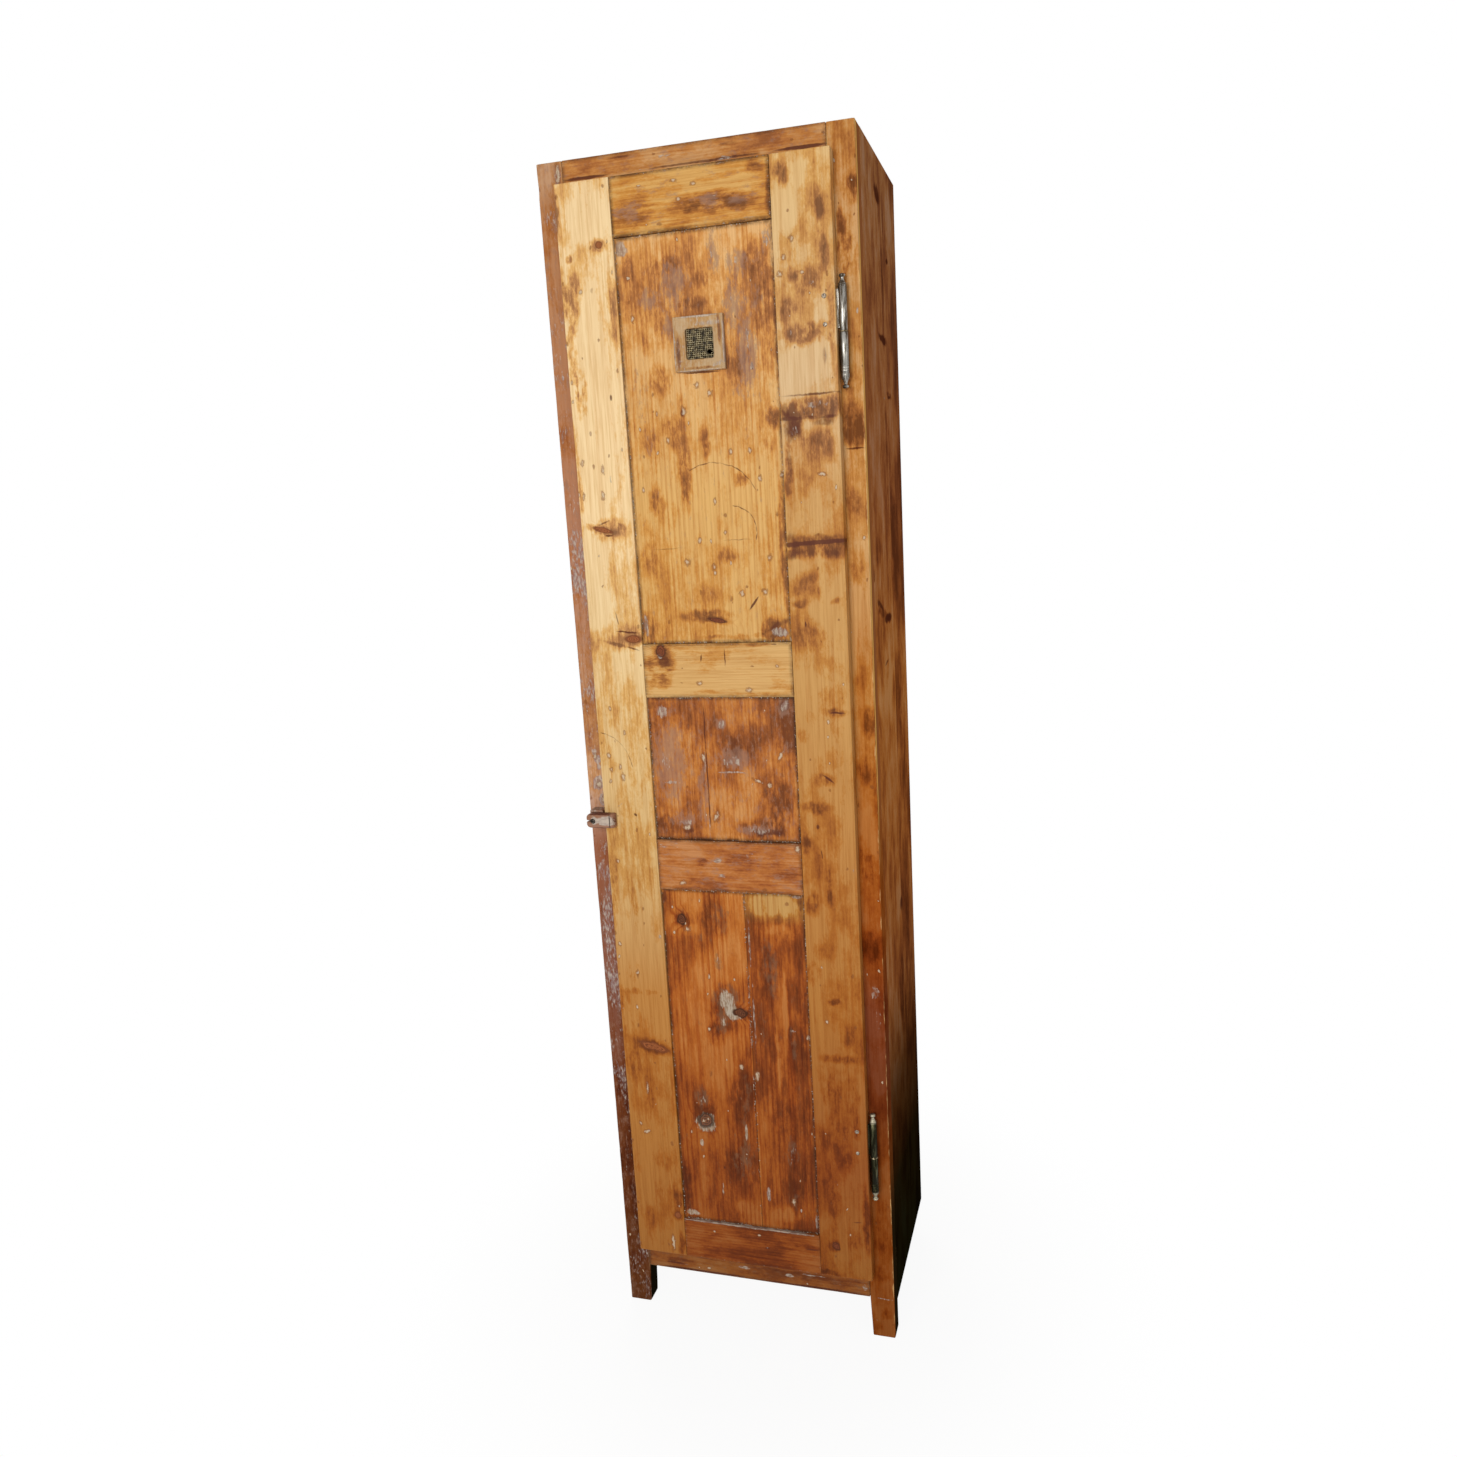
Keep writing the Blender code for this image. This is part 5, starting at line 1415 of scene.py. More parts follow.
def clean_copy(node, name):
    """A copy of a CAD mesh with its split corners merged and its flat faces whole."""
    bm = bmesh.new()
    bm.from_mesh(frame["nodes"][node].data)
    bmesh.ops.remove_doubles(bm, verts=bm.verts, dist=0.01 * MM)
    bmesh.ops.dissolve_limit(bm, angle_limit=radians(1), verts=bm.verts, edges=bm.edges)
    return new_piece(name, bm)


for node, look in LEVELS.items():
    piece = clean_copy(node, f"{node}_worn")
    edge = piece.modifiers.new("rubbed_edge", "BEVEL")
    edge.width = BEVEL
    edge.segments = 2
    edge.limit_method = "ANGLE"
    settle(piece)
    stand_for(piece, pine(f"{node}_pine", look, *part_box(node)), node)
print("level boards:", len(LEVELS))

# %% [markdown]
# ## The vent's frame
# A square hole in the upper panel lets air in. Its frame is a strip with a thin raised rim and soft
# inner corners, so its section is swept along rounded squares. The section is in millimetres: how far
# in from the outside, and how high above the panel.

# %% Vent frame
TRIM_SECTION = (
    (0.0, 0.2), (0.0, 6.6), (0.5, 7.6), (1.3, 7.9), (2.2, 7.5), (2.9, 6.7), (4.5, 6.4), (9.0, 5.9),
    (13.5, 5.2), (15.6, 4.8), (16.6, 4.3), (17.0, 3.4), (17.0, 1.5), (11.5, 1.5), (11.5, 0.2),
)
TRIM_WIDTH = 17
TRIM_BED = 0.2 * MM
TRIM_DIP = 0.35 * MM
VENT_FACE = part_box("vent_trim_top")[1].y
VENT_OUTER = (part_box("vent_trim_right")[1].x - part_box("vent_trim_left")[0].x) / 2
VENT_MIDDLE = centre("vent_mesh")
TRIM_HALF = Vector((VENT_OUTER, 10 * MM, VENT_OUTER))
TRIM_NODES = [f"vent_trim_{side}" for side in ("top", "right", "bottom", "left")]
TRIM_LOOK = {
    "seed": 139, "spacing": 3.0, "contrast": 0.1, "fibre": 0.45, "stain": -0.62, "pits": 0.1, "rough": 0.62,
    "specular": 0.2, "ground": ((0, paint(188, 160, 124)),), "grey": paint(160, 144, 134), "residue": -0.16,
    "stains": [(-27, 1612, 9, 66, 0.55), (37, 1640, 8, 76, 0.55), (5, 1589, 70, 5, 0.5)],
    "residues": [
        (5, 1660, 80, 4, 1.7), (-33, 1623, 4, 80, 1.6), (43, 1623, 4, 80, 1.6), (5, 1585, 80, 3, 1.4),
        (20, 1650, 50, 10, 0.6), (30, 1593, 30, 12, 0.6)],
}


def rounded_square(half, radius, steps=5, side_steps=7):
    """Points round a square with soft corners, as many for any size."""
    points = []
    straight = half - radius
    for corner in range(4):
        turn = Matrix.Rotation(corner * pi / 2, 2)
        for step in range(steps + 1):
            angle = step * pi / 2 / steps
            points.append(turn @ Vector((straight + radius * cos(angle), straight + radius * sin(angle))))
        for step in range(1, side_steps):
            points.append(turn @ Vector((straight - 2 * straight * step / side_steps, half)))
    return points


def vent_trim():
    """The frame round the vent, in one strip, whose surface dips a little here and there."""
    bm = bmesh.new()
    rings = []
    for reach, rise in TRIM_SECTION:
        soft = 0.4 * MM + 3.2 * MM * (reach / TRIM_WIDTH) ** 2
        ring = []
        for point in rounded_square(VENT_OUTER - reach * MM, soft):
            dip = TRIM_DIP * (0.5 + 0.5 * noise.noise((point.x * 90, point.y * 90, reach * 0.3)))
            inward = point * (1 - dip * 0.8 / VENT_OUTER)
            level = max(TRIM_BED, rise * MM - dip)
            ring.append(bm.verts.new((VENT_MIDDLE.x + inward.x, VENT_FACE - level, VENT_MIDDLE.z + inward.y)))
        rings.append(ring)
    for near, far in zip(rings, [*rings[1:], rings[0]]):
        bridge(bm, near, far)
    return closed_piece("vent_trim", bm)


trim = vent_trim()
trim_wood = pine("vent_trim_wood", TRIM_LOOK, VENT_MIDDLE - TRIM_HALF, VENT_MIDDLE + TRIM_HALF)
stand_for(trim, trim_wood, *TRIM_NODES)
print("vent frame:", len(trim.data.polygons), "faces")

# %% [markdown]
# ## Worn metal
# Net, hinges, screw and nails are one recipe with other tones: bright metal under patches of dull
# tarnish, which also make it rougher. A metal can get a painted highlight, a paler colour, at some heights.

# %% Metal
# Pale steel, painted as a highlight at some heights.
FINIAL_HIGHLIGHT = paint(176, 168, 146)


def metal(name, bright, dull, patch, rough, share, metallic=1.0, rubbed_and_highlit=()):
    """Worn metal with tarnish in patches of a width and a height in millimetres."""
    material, shader, wire = new_material(name)
    here = wire.node("ShaderNodeTexCoord", output="Object")
    size = (1 / (patch[0] * MM), 1 / (patch[0] * MM), 1 / (patch[1] * MM))
    moved = here.node("ShaderNodeMapping", (), {"Vector": here, "Scale": size})
    sockets = {"Vector": moved, "Scale": 1.0, "Detail": 5.0, "Roughness": 0.6}
    cloud = moved.node("ShaderNodeTexNoise", (), sockets, "Fac")
    fine = here.node("ShaderNodeTexNoise", (), {"Vector": here, "Scale": 900.0, "Detail": 3.0}, "Fac")
    # Tarnish patches. On the upper hinge their tall streaks are partly painted dark reflection.
    tarnish_and_dark_reflection = smooth(cloud + fine * 0.25, 0.78 - share, 0.98 - share)
    colour = mixed(bright, tarnish_and_dark_reflection, dull)
    height = here.node("ShaderNodeSeparateXYZ", (), {"Vector": here}, output="Z")
    # Painted highlight near each of these heights.
    for level in rubbed_and_highlit:
        near = smooth(wire.math("ABSOLUTE", height - level), 11 * MM, 5 * MM)
        colour = mixed(colour, near * smooth(fine, 0.35, 0.55, 0.3, 0.9), FINIAL_HIGHLIGHT)
    sockets = {"Strength": 0.4, "Distance": 0.2 * MM, "Height": cloud + fine * 0.4}
    bump = wire.node("ShaderNodeBump", (), sockets, "Normal")
    feed(shader, Base_Color=colour, Roughness=tarnish_and_dark_reflection * 0.3 + (rough + fine * 0.08), Normal=bump)
    shader.inputs["Metallic"].default_value = metallic
    return material


print("metal ready")

# %% [markdown]
# ## The vent's net
# The net is woven: each wire waves over and under the wires that cross it, and one spot is pierced.
# Repeated wires are a task for Geometry Nodes. They stay edges until the hole is cut, and then become
# tubes with closed ends.

# %% Vent net
WIRE_RADIUS = 0.40 * MM
WIRE_PITCH = 2.8 * MM
WIRE_COUNT = 16
WIRE_STEPS = 4
WIRE_SIDES = 6
NET_HALF = WIRE_PITCH * WIRE_COUNT / 2


def geometry_tree(name, inputs):
    """An empty Geometry Nodes tree with named inputs, and a wire from its geometry."""
    tree = bpy.data.node_groups.new(name, "GeometryNodeTree")
    tree.interface.new_socket("Geometry", in_out="INPUT", socket_type="NodeSocketGeometry")
    for label, kind in inputs.items():
        tree.interface.new_socket(label, in_out="INPUT", socket_type=f"NodeSocket{kind}")
    tree.interface.new_socket("Geometry", in_out="OUTPUT", socket_type="NodeSocketGeometry")
    return Wire(tree).node("NodeGroupInput", output="Geometry")


def deliver(shape, given):
    """Gives a tree's shape the material that was asked for, and sends it out of the tree."""
    sockets = {"Geometry": shape, "Material": given.other("Material")}
    shape = shape.node("GeometryNodeSetMaterial", (), sockets)
    shape.node("NodeGroupOutput", (), {"Geometry": shape})
    return given.tree


def grow(piece, tree, values):
    """Runs a tree on a piece and keeps what it makes as the piece's plain mesh."""
    modifier = piece.modifiers.new(tree.name, "NODES")
    modifier.node_group = tree
    for item in tree.interface.items_tree:
        if item.in_out == "INPUT" and item.name in values:
            modifier[item.identifier] = values[item.name]
    settle(piece)


def mesh_line(given, count, start, end):
    """A straight row of points, joined by edges."""
    sockets = {"Count": count, "Start Location": start, "Offset": end}
    return given.node("GeometryNodeMeshLine", {"mode": "END_POINTS"}, sockets)


def wire_set(given, flip, spread, lie):
    """Parallel waving wires. Every second one is turned over, so it waves the other way."""
    reach = given.other("Reach")
    ends = [reach.node("ShaderNodeCombineXYZ", (), {0: end}) for end in (reach * -1.0, reach)]
    line = mesh_line(given, WIRE_COUNT * WIRE_STEPS + 1, *ends)
    place = given.node("GeometryNodeInputPosition")
    along = place.node("ShaderNodeSeparateXYZ", (), {0: place}, output="X")
    wave = along.math("COSINE", along * (pi / WIRE_PITCH)) * given.other("Wave")
    lift = wave.node("ShaderNodeCombineXYZ", (), {1: wave})
    line = line.node("GeometryNodeSetPosition", (), {"Geometry": line, "Offset": lift})
    line = line.node("GeometryNodeTransform", (), {"Geometry": line, "Rotation": lie})
    end = tuple(NET_HALF * share for share in spread)
    points = mesh_line(given, WIRE_COUNT + 1, tuple(-value for value in end), end)
    number = given.node("GeometryNodeInputIndex")
    odd = number.math("MODULO", number, 2.0) * pi
    turn = odd.node("ShaderNodeCombineXYZ", (), {flip: odd})
    sockets = {"Points": points, "Instance": line, "Rotation": turn}
    return points.node("GeometryNodeInstanceOnPoints", (), sockets)


def woven_net():
    """The net's tree: two wire sets, a pierced spot, and tubes along what is left."""
    numbers = ("Reach", "Wave", "Wire Radius", "Hole Radius")
    inputs = {**dict.fromkeys(numbers, "Float"), "Hole": "Vector", "Place": "Vector", "Material": "Material"}
    given = geometry_tree("woven_net", inputs)
    level = wire_set(given, 0, (0.0, 0.0, 1.0), (0.0, 0.0, 0.0))
    upright = wire_set(given, 2, (1.0, 0.0, 0.0), (pi, pi / 2, 0.0))
    both = given.node("GeometryNodeJoinGeometry")
    for part in (level, upright):
        given.tree.links.new(part.socket, both.socket.node.inputs[0])
    wires = both.node("GeometryNodeRealizeInstances", (), {"Geometry": both})
    place = wires.node("GeometryNodeInputPosition")
    sockets = {0: place, 1: given.other("Hole")}
    away = place.node("ShaderNodeVectorMath", {"operation": "DISTANCE"}, sockets, "Value")
    sockets = {"Geometry": wires, "Selection": away.math("LESS_THAN", away, given.other("Hole Radius"))}
    wires = wires.node("GeometryNodeDeleteGeometry", {"domain": "POINT"}, sockets)
    paths = wires.node("GeometryNodeMeshToCurve", (), {"Mesh": wires})
    sockets = {"Resolution": WIRE_SIDES, "Radius": given.other("Wire Radius")}
    ring = given.node("GeometryNodeCurvePrimitiveCircle", (), sockets)
    sockets = {"Curve": paths, "Profile Curve": ring, "Fill Caps": True}
    tubes = paths.node("GeometryNodeCurveToMesh", (), sockets)
    sockets = {"Geometry": tubes, "Translation": given.other("Place")}
    return deliver(tubes.node("GeometryNodeTransform", (), sockets), given)


NET_STEEL = metal("net_steel", paint(190, 172, 132), paint(84, 78, 66), (7, 5), 0.42, 0.24, 0.40)
net = new_piece("vent_net", bmesh.new())
grow(net, woven_net(), {
    "Reach": NET_HALF, "Wave": 0.34 * MM, "Wire Radius": WIRE_RADIUS, "Place": VENT_MIDDLE,
    "Hole": (14 * MM, 0.0, -12 * MM), "Hole Radius": 3.0 * MM, "Material": NET_STEEL,
})
stand_for(net, NET_STEEL, "vent_mesh")
print("net:", len(net.data.polygons), "faces")

# %% [markdown]
# ## Hinges
# These are lift-off hinges with a finial at each end. A turned part is a section spun round an axis, so
# one list of radii and heights makes both halves: the lower half is the same list upside down, with
# three grooves. A short strip joins each barrel to its leaf in the wood. The upper hinge is polished by
# use, and its tall streaks of tarnish are partly painted dark reflection. The lower one is nearly black,
# with a painted highlight on its finials.

# %% Hinges
FINIAL = (
    (0.0, 15.5), (1.6, 15.4), (3.0, 15.0), (4.1, 14.3), (4.7, 13.4), (4.9, 12.4), (4.6, 11.5), (3.9, 10.8),
    (2.9, 10.3), (2.5, 9.6), (2.5, 8.8), (2.8, 7.6), (3.4, 6.0), (4.2, 4.2), (4.9, 2.8), (5.6, 2.2),
    (5.8, 1.6), (5.6, 1.0), (5.0, 0.7),
)
BARREL_RADIUS = 6.0
BARREL_TOP = 61.0
GROOVES = (46.0, 50.0, 54.0)
PIN_PROFILE = ((0.0, 50.0), (2.1, 50.0), (3.0, 48.8), (3.0, -50.0), (0.0, -50.0))
PIN_SIDES = 24
TURNED_SIDES = 40
LEAF_HALF = 1.2 * MM
LEAF_SPAN = (4.5 * MM, 56.5 * MM)
LEAF_START = 4.5 * MM
DOOR_LEAF_END = 12 * MM
POST_LEAF_END = 14 * MM
KNUCKLE_PLAY = 0.1 * MM


def lathe(bm, profile, place, sides=TURNED_SIDES):
    """Spins a list of radii and heights, in millimetres, round an upright axis."""
    rings = []
    for radius, height in profile:
        ring = []
        for index in range(sides if radius > 0 else 1):
            angle = 2 * pi * index / sides
            offset = Vector((radius * cos(angle), radius * sin(angle), height)) * MM
            ring.append(bm.verts.new(Vector(place) + offset))
        rings.append(ring)
    for near, far in zip(rings, rings[1:]):
        bridge(bm, near, far)


def knuckle(name, way, axis, joint, leaf):
    """One half of a hinge, with the strip that joins it to its leaf."""
    rim, full = BARREL_RADIUS - 0.4, BARREL_RADIUS
    barrel = [(rim, 0.0), (full, 0.5)]
    if way < 0:
        for groove in GROOVES:
            barrel += [(full, groove - 0.6), (5.5, groove - 0.2), (5.5, groove + 0.2), (full, groove + 0.6)]
    barrel += [(full, BARREL_TOP - 0.4), (rim, BARREL_TOP)]
    finial = [(radius, BARREL_TOP + height) for radius, height in reversed(FINIAL)]
    profile = [(0.0, 0.0), *barrel, *finial]
    bm = bmesh.new()
    lathe(bm, [(radius, way * height) for radius, height in profile], (*axis, joint))
    add_block(bm, *leaf)
    return closed_piece(name, bm)


def washer(name, middle, half):
    """A ring with a rounded rim, so many millimetres high on each side of its middle."""
    rim = [(5.9, half), (6.3, half * 0.5), (6.35, 0.0), (6.3, -half * 0.5), (5.9, -half)]
    bm = bmesh.new()
    lathe(bm, [(3.2, half), *rim, (3.2, -half), (3.2, half)], middle)
    bmesh.ops.remove_doubles(bm, verts=bm.verts, dist=0.001 * MM)
    return closed_piece(name, bm)


def dress_hinge(place, steel):
    """All turned parts of one hinge: two knuckles, the ring between them and the pin inside."""
    ring_low, ring_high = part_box(f"{place}_hinge_ring")
    middle = centre(f"{place}_hinge_ring")
    x, y, _ = middle
    near, far = LEAF_SPAN
    door_leaf = ((x - DOOR_LEAF_END, y - LEAF_HALF, ring_high.z + near),
                 (x - LEAF_START, y + LEAF_HALF, ring_high.z + far))
    post_leaf = ((x - LEAF_HALF, y + LEAF_START, ring_low.z - far),
                 (x + LEAF_HALF, y + POST_LEAF_END, ring_low.z - near))
    halves = {
        "door": (1, ring_high.z + KNUCKLE_PLAY, door_leaf),
        "post": (-1, ring_low.z - KNUCKLE_PLAY, post_leaf),
    }
    for holder, (way, joint, leaf) in halves.items():
        node = f"{place}_hinge_{holder}_knuckle"
        stand_for(knuckle(f"{node}_turned", way, (x, y), joint, leaf), steel, node)
    ring = washer(f"{place}_hinge_washer", middle, (ring_high.z - ring_low.z) / 2 / MM)
    stand_for(ring, OLD_BRASS, f"{place}_hinge_ring")
    bm = bmesh.new()
    lathe(bm, PIN_PROFILE, middle, PIN_SIDES)
    stand_for(closed_piece(f"{place}_hinge_spindle", bm), steel, f"{place}_hinge_pin")


# Heights of the lower hinge's finials, where a painted highlight lies.
HIGHLIT_FINIALS = (0.4125, 0.2715)
BLACKENED = ("blackened_steel", paint(84, 82, 60), paint(30, 29, 18), (4, 26), 0.20, 0.34)
STEELS = {
    # Its tall narrow tarnish patches are partly painted dark reflection on the barrel.
    "upper": metal("polished_steel", paint(158, 155, 148), paint(70, 60, 48), (4, 30), 0.26, 0.24),
    "lower": metal(*BLACKENED, rubbed_and_highlit=HIGHLIT_FINIALS),
}
OLD_BRASS = metal("dull_brass", paint(186, 172, 140), paint(88, 74, 54), (3, 3), 0.30, 0.25)
for place, steel in STEELS.items():
    dress_hinge(place, steel)
print("hinges:", len(STEELS))

# %% [markdown]
# ## The turn button
# The button was whittled from a scrap of painted wood. Its heel is split up to the screw, so the
# outline runs into the split and back. Rings of that outline, drawn in more each time, give the front
# a carved edge and the far end a slant.

# %% Turn button
BUTTON_DEPTHS = (
    (0.5, 0.0, 0.0), (0.0, 0.7, 0.0), (0.0, 8.0, 0.0), (0.1, 11.4, 1.2), (0.4, 12.8, 2.4), (1.1, 13.6, 3.4),
    (2.1, 13.95, 4.3),
)
SPLIT_HALF = 0.6
SLANT_START = 18
SLANT_LENGTH = 17.3


def arc_points(centre, radius, start, end, steps):
    """Points on part of a circle, angles in degrees."""
    angles = [radians(start + (end - start) * step / steps) for step in range(steps + 1)]
    return [Vector((centre[0] + radius * cos(angle), centre[1] + radius * sin(angle))) for angle in angles]


def button_outline():
    """The button from the front, in millimetres from its screw."""
    upper = arc_points((33.6, 10.0), 1.7, 0, 90, 3)
    upper += [Vector((x, 11.7)) for x in range(30, -3, -4)]
    upper += arc_points((-5.1, 4.9), 6.8, 90, 180, 6)
    upper += arc_points((-9.7, 2.8), 2.2, 180, 270, 4)
    upper += [Vector((x, SPLIT_HALF)) for x in (-6.0, -3.0, 0.0)]
    return upper + [Vector((point.x, -point.y)) for point in reversed(upper)]


def carved_button(name, pivot):
    """Rings of the outline from the back to the front, each drawn in and roughened."""
    outline = button_outline()
    bm = bmesh.new()
    rings = []
    for inset, depth, slant in BUTTON_DEPTHS:
        ring = []
        for index, point in enumerate(outline):
            edge = outline[(index + 1) % len(outline)] - outline[index - 1]
            inward = Vector((-edge.y, edge.x)).normalized()
            rough = 0.35 + 0.35 * noise.noise((point.x * 0.13, point.y * 0.13, depth * 0.3))
            spot = point + inward * (inset * (0.7 + rough) + rough * 0.35)
            spot.x -= slant * max(0.0, (point.x - SLANT_START) / SLANT_LENGTH)
            ring.append(bm.verts.new(Vector(pivot) + Vector((spot.x, -depth, spot.y)) * MM))
        rings.append(ring)
    for near, far in zip(rings, rings[1:]):
        bridge(bm, near, far)
    bm.faces.new(rings[0])
    bm.faces.new(rings[-1])
    return closed_piece(name, bm)


SCREW_MIDDLE = centre("button_screw")
BUTTON_FRONT, BUTTON_BACK = (corner.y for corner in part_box("turn_button"))
PIVOT = (SCREW_MIDDLE.x, BUTTON_BACK, SCREW_MIDDLE.z)
BUTTON_LOOK = {
    "axes": ACROSS, "seed": 149, "spacing": 3.0, "contrast": 0.55, "pith": (2, 10), "fibre": 0.5,
    "rough": 0.66, "ground": ((0, paint(150, 112, 92)),), "grey": paint(174, 162, 152), "residue": -0.2,
    "specular": 0.2, "pits": 0.0,
    "residues": [
        (-200, 903, 38, 20, 1.5), (-192, 903, 14, 22, 1.4), (-220, 903, 18, 18, 1.7),
        (-212, 915, 40, 5, -1.6), (-230, 893, 18, 8, -0.8)],
    # The line along the top edge is painted shadow of the gap under the packer. The others darken the
    # button's outline.
    "burns_and_shadows": [
        (-205, 906, 36, 2, 0.8), (-200, 898, 30, 2, 0.7), (-210, 914, 56, 4, 1.1),
        (-208, 892, 56, 3.5, 0.9), (-186, 903, 3.5, 24, 0.9)],
}
PACKER_LOOK = {**BUTTON_LOOK, "seed": 151, "axes": "XYZ", "residue": 0.1, "residues": (), "burns_and_shadows": ()}
button = carved_button("turn_button_carved", PIVOT)
stand_for(button, pine("turn_button_wood", BUTTON_LOOK, *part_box("turn_button")), "turn_button")
lay_board("button_packer", PACKER_LOOK)
print("button:", len(button.data.polygons), "faces")

# %% [markdown]
# ## The button's screw
# The screw is turned upright, laid on its side and pushed through the button. A thin block, turned a
# little, cuts the slot.

# %% Screw
SCREW_PROFILE = (
    (0.0, 2.2), (1.4, 2.12), (2.7, 1.85), (3.6, 1.4), (4.1, 0.75), (4.2, 0.2), (4.0, 0.0), (2.1, 0.0),
    (2.1, -30.0), (0.0, -30.0),
)
SCREW_SIDES = 32
SCREW_SEAT = 0.2 * MM
SLOT_LOW, SLOT_HIGH = Vector((-6, -4, -0.55)) * MM, Vector((6, 1.2, 0.55)) * MM
SLOT_TURN = radians(24)
SLOT_FRONT = 2.4 * MM


def turn_and_move(bm, angle, axis, place):
    """Turns a mesh about the origin and then moves it."""
    bmesh.ops.rotate(bm, cent=(0, 0, 0), matrix=Matrix.Rotation(angle, 3, axis), verts=bm.verts)
    bmesh.ops.translate(bm, vec=place, verts=bm.verts)


def slotted_screw():
    """A round screw head with a slot, on a short shank."""
    bm = bmesh.new()
    lathe(bm, SCREW_PROFILE, (0.0, 0.0, 0.0), SCREW_SIDES)
    bmesh.ops.recalc_face_normals(bm, faces=bm.faces)
    turn_and_move(bm, pi / 2, "X", (PIVOT[0], BUTTON_FRONT - SCREW_SEAT, PIVOT[2]))
    screw = new_piece("button_screw_slotted", bm)
    bm = bmesh.new()
    add_block(bm, SLOT_LOW, SLOT_HIGH)
    turn_and_move(bm, SLOT_TURN, "Y", (PIVOT[0], BUTTON_FRONT - SLOT_FRONT, PIVOT[2]))
    cut_away(screw, new_piece("slot_cutter", bm))
    return screw


SCREW_STEEL = metal("screw_steel", paint(112, 106, 98), paint(40, 35, 31), (2, 2), 0.36, 0.30)
screw = slotted_screw()
stand_for(screw, SCREW_STEEL, "button_screw")
print("screw:", len(screw.data.polygons), "faces")

# %% [markdown]
# ## Nails
# Nails repeat one domed head, so they grow on a handful of points with Geometry Nodes, each with its
# own tilt and size. Two hold each hinge leaf in the door, and rows of them hold the back planks.

# %% Nails
NAIL_HEAD = 3.5 * MM
NAIL_DOME = 1.2 * MM
BACK_NAIL_HEAD = 3.0 * MM
BACK_NAIL_DOME = 0.9 * MM
BACK_NAIL_INSET = 24 * MM


def random_between(given, low, high):
    """A random number or vector between two limits, from the tree's own seed."""
    seed = given.other("Seed")
    if isinstance(low, tuple):
        sockets = {0: low, 1: high, "Seed": seed}
        return given.node("FunctionNodeRandomValue", {"data_type": "FLOAT_VECTOR"}, sockets)
    sockets = {2: low, 3: high, "Seed": seed}
    return given.node("FunctionNodeRandomValue", {"data_type": "FLOAT"}, sockets, output=1)


def scatter(points, shape, turn, size):
    """A copy of a shape on every point, as plain mesh."""
    sockets = {"Points": points, "Instance": shape, "Rotation": turn, "Scale": size}
    copies = points.node("GeometryNodeInstanceOnPoints", (), sockets)
    return copies.node("GeometryNodeRealizeInstances", (), {"Geometry": copies})


def nail_tree():
    """A domed head on every point, flat against a wall that faces along Y."""
    inputs = {"Seed": "Int", "Head": "Float", "Dome": "Float", "Material": "Material"}
    given = geometry_tree("nail_heads", inputs)
    head, dome = given.other("Head"), given.other("Dome")
    ball = given.node("GeometryNodeMeshUVSphere", (), {"Segments": 14, "Rings": 8, "Radius": 1.0})
    size = given.node("ShaderNodeCombineXYZ", (), {0: head, 1: dome, 2: head})
    ball = ball.node("GeometryNodeTransform", (), {"Geometry": ball, "Rotation": (pi / 2, 0.0, 0.0)})
    ball = ball.node("GeometryNodeTransform", (), {"Geometry": ball, "Scale": size})
    ball = ball.node("GeometryNodeSetShadeSmooth", (), {"Geometry": ball})
    points = given.node("GeometryNodeMeshToPoints", (), {"Mesh": given})
    tilt = random_between(given, (-0.1, -3.0, -0.1), (0.1, 3.0, 0.1))
    return deliver(scatter(points, ball, tilt, random_between(given, 0.82, 1.0)), given)


def nails(name, places, tree, material, seed, head=NAIL_HEAD, dome=NAIL_DOME):
    """A piece with one nail head at each place."""
    bm = bmesh.new()
    for place in places:
        bm.verts.new(place)
    piece = new_piece(name, bm)
    grow(piece, tree, {"Seed": seed, "Head": head, "Dome": dome, "Material": material})
    return piece


NAIL_TREE = nail_tree()
NAIL_STEEL = metal("nail_steel", paint(172, 160, 142), paint(84, 64, 50), (2, 2), 0.34, 0.24, 0.5)
HINGE_NAILS = [f"{place}_hinge_{height}_nail" for place in STEELS for height in ("low", "high")]
nail_places = []
for node in HINGE_NAILS:
    middle = centre(node)
    nail_places.append((middle.x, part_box(node)[0].y + NAIL_DOME, middle.z))
stand_for(nails("hinge_nails", nail_places, NAIL_TREE, NAIL_STEEL, 5), NAIL_STEEL, *HINGE_NAILS)

RUSTY = metal("rusty_nail_steel", paint(104, 84, 70), paint(62, 40, 28), (3, 3), 0.6, 0.3)
BACK_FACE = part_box("back_board_middle")[1].y
back_places = []
for plank in ("left", "middle", "right"):
    low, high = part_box(f"back_board_{plank}")
    for rail in ("back_top_rail", "back_bottom_rail"):
        for edge in (low.x + BACK_NAIL_INSET, high.x - BACK_NAIL_INSET):
            back_places.append((edge, BACK_FACE - BACK_NAIL_DOME, centre(rail).z))
back_nails = nails("back_nails", back_places, NAIL_TREE, RUSTY, 9, BACK_NAIL_HEAD, BACK_NAIL_DOME)
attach(back_nails, BODY_OF["back_board_middle"])
print("nails:", len(nail_places) + len(back_places))

# %% [markdown]
# ## Coat pegs
# The two pegs inside are turned, like the hinges, and lean back a little, so that a coat stays on.

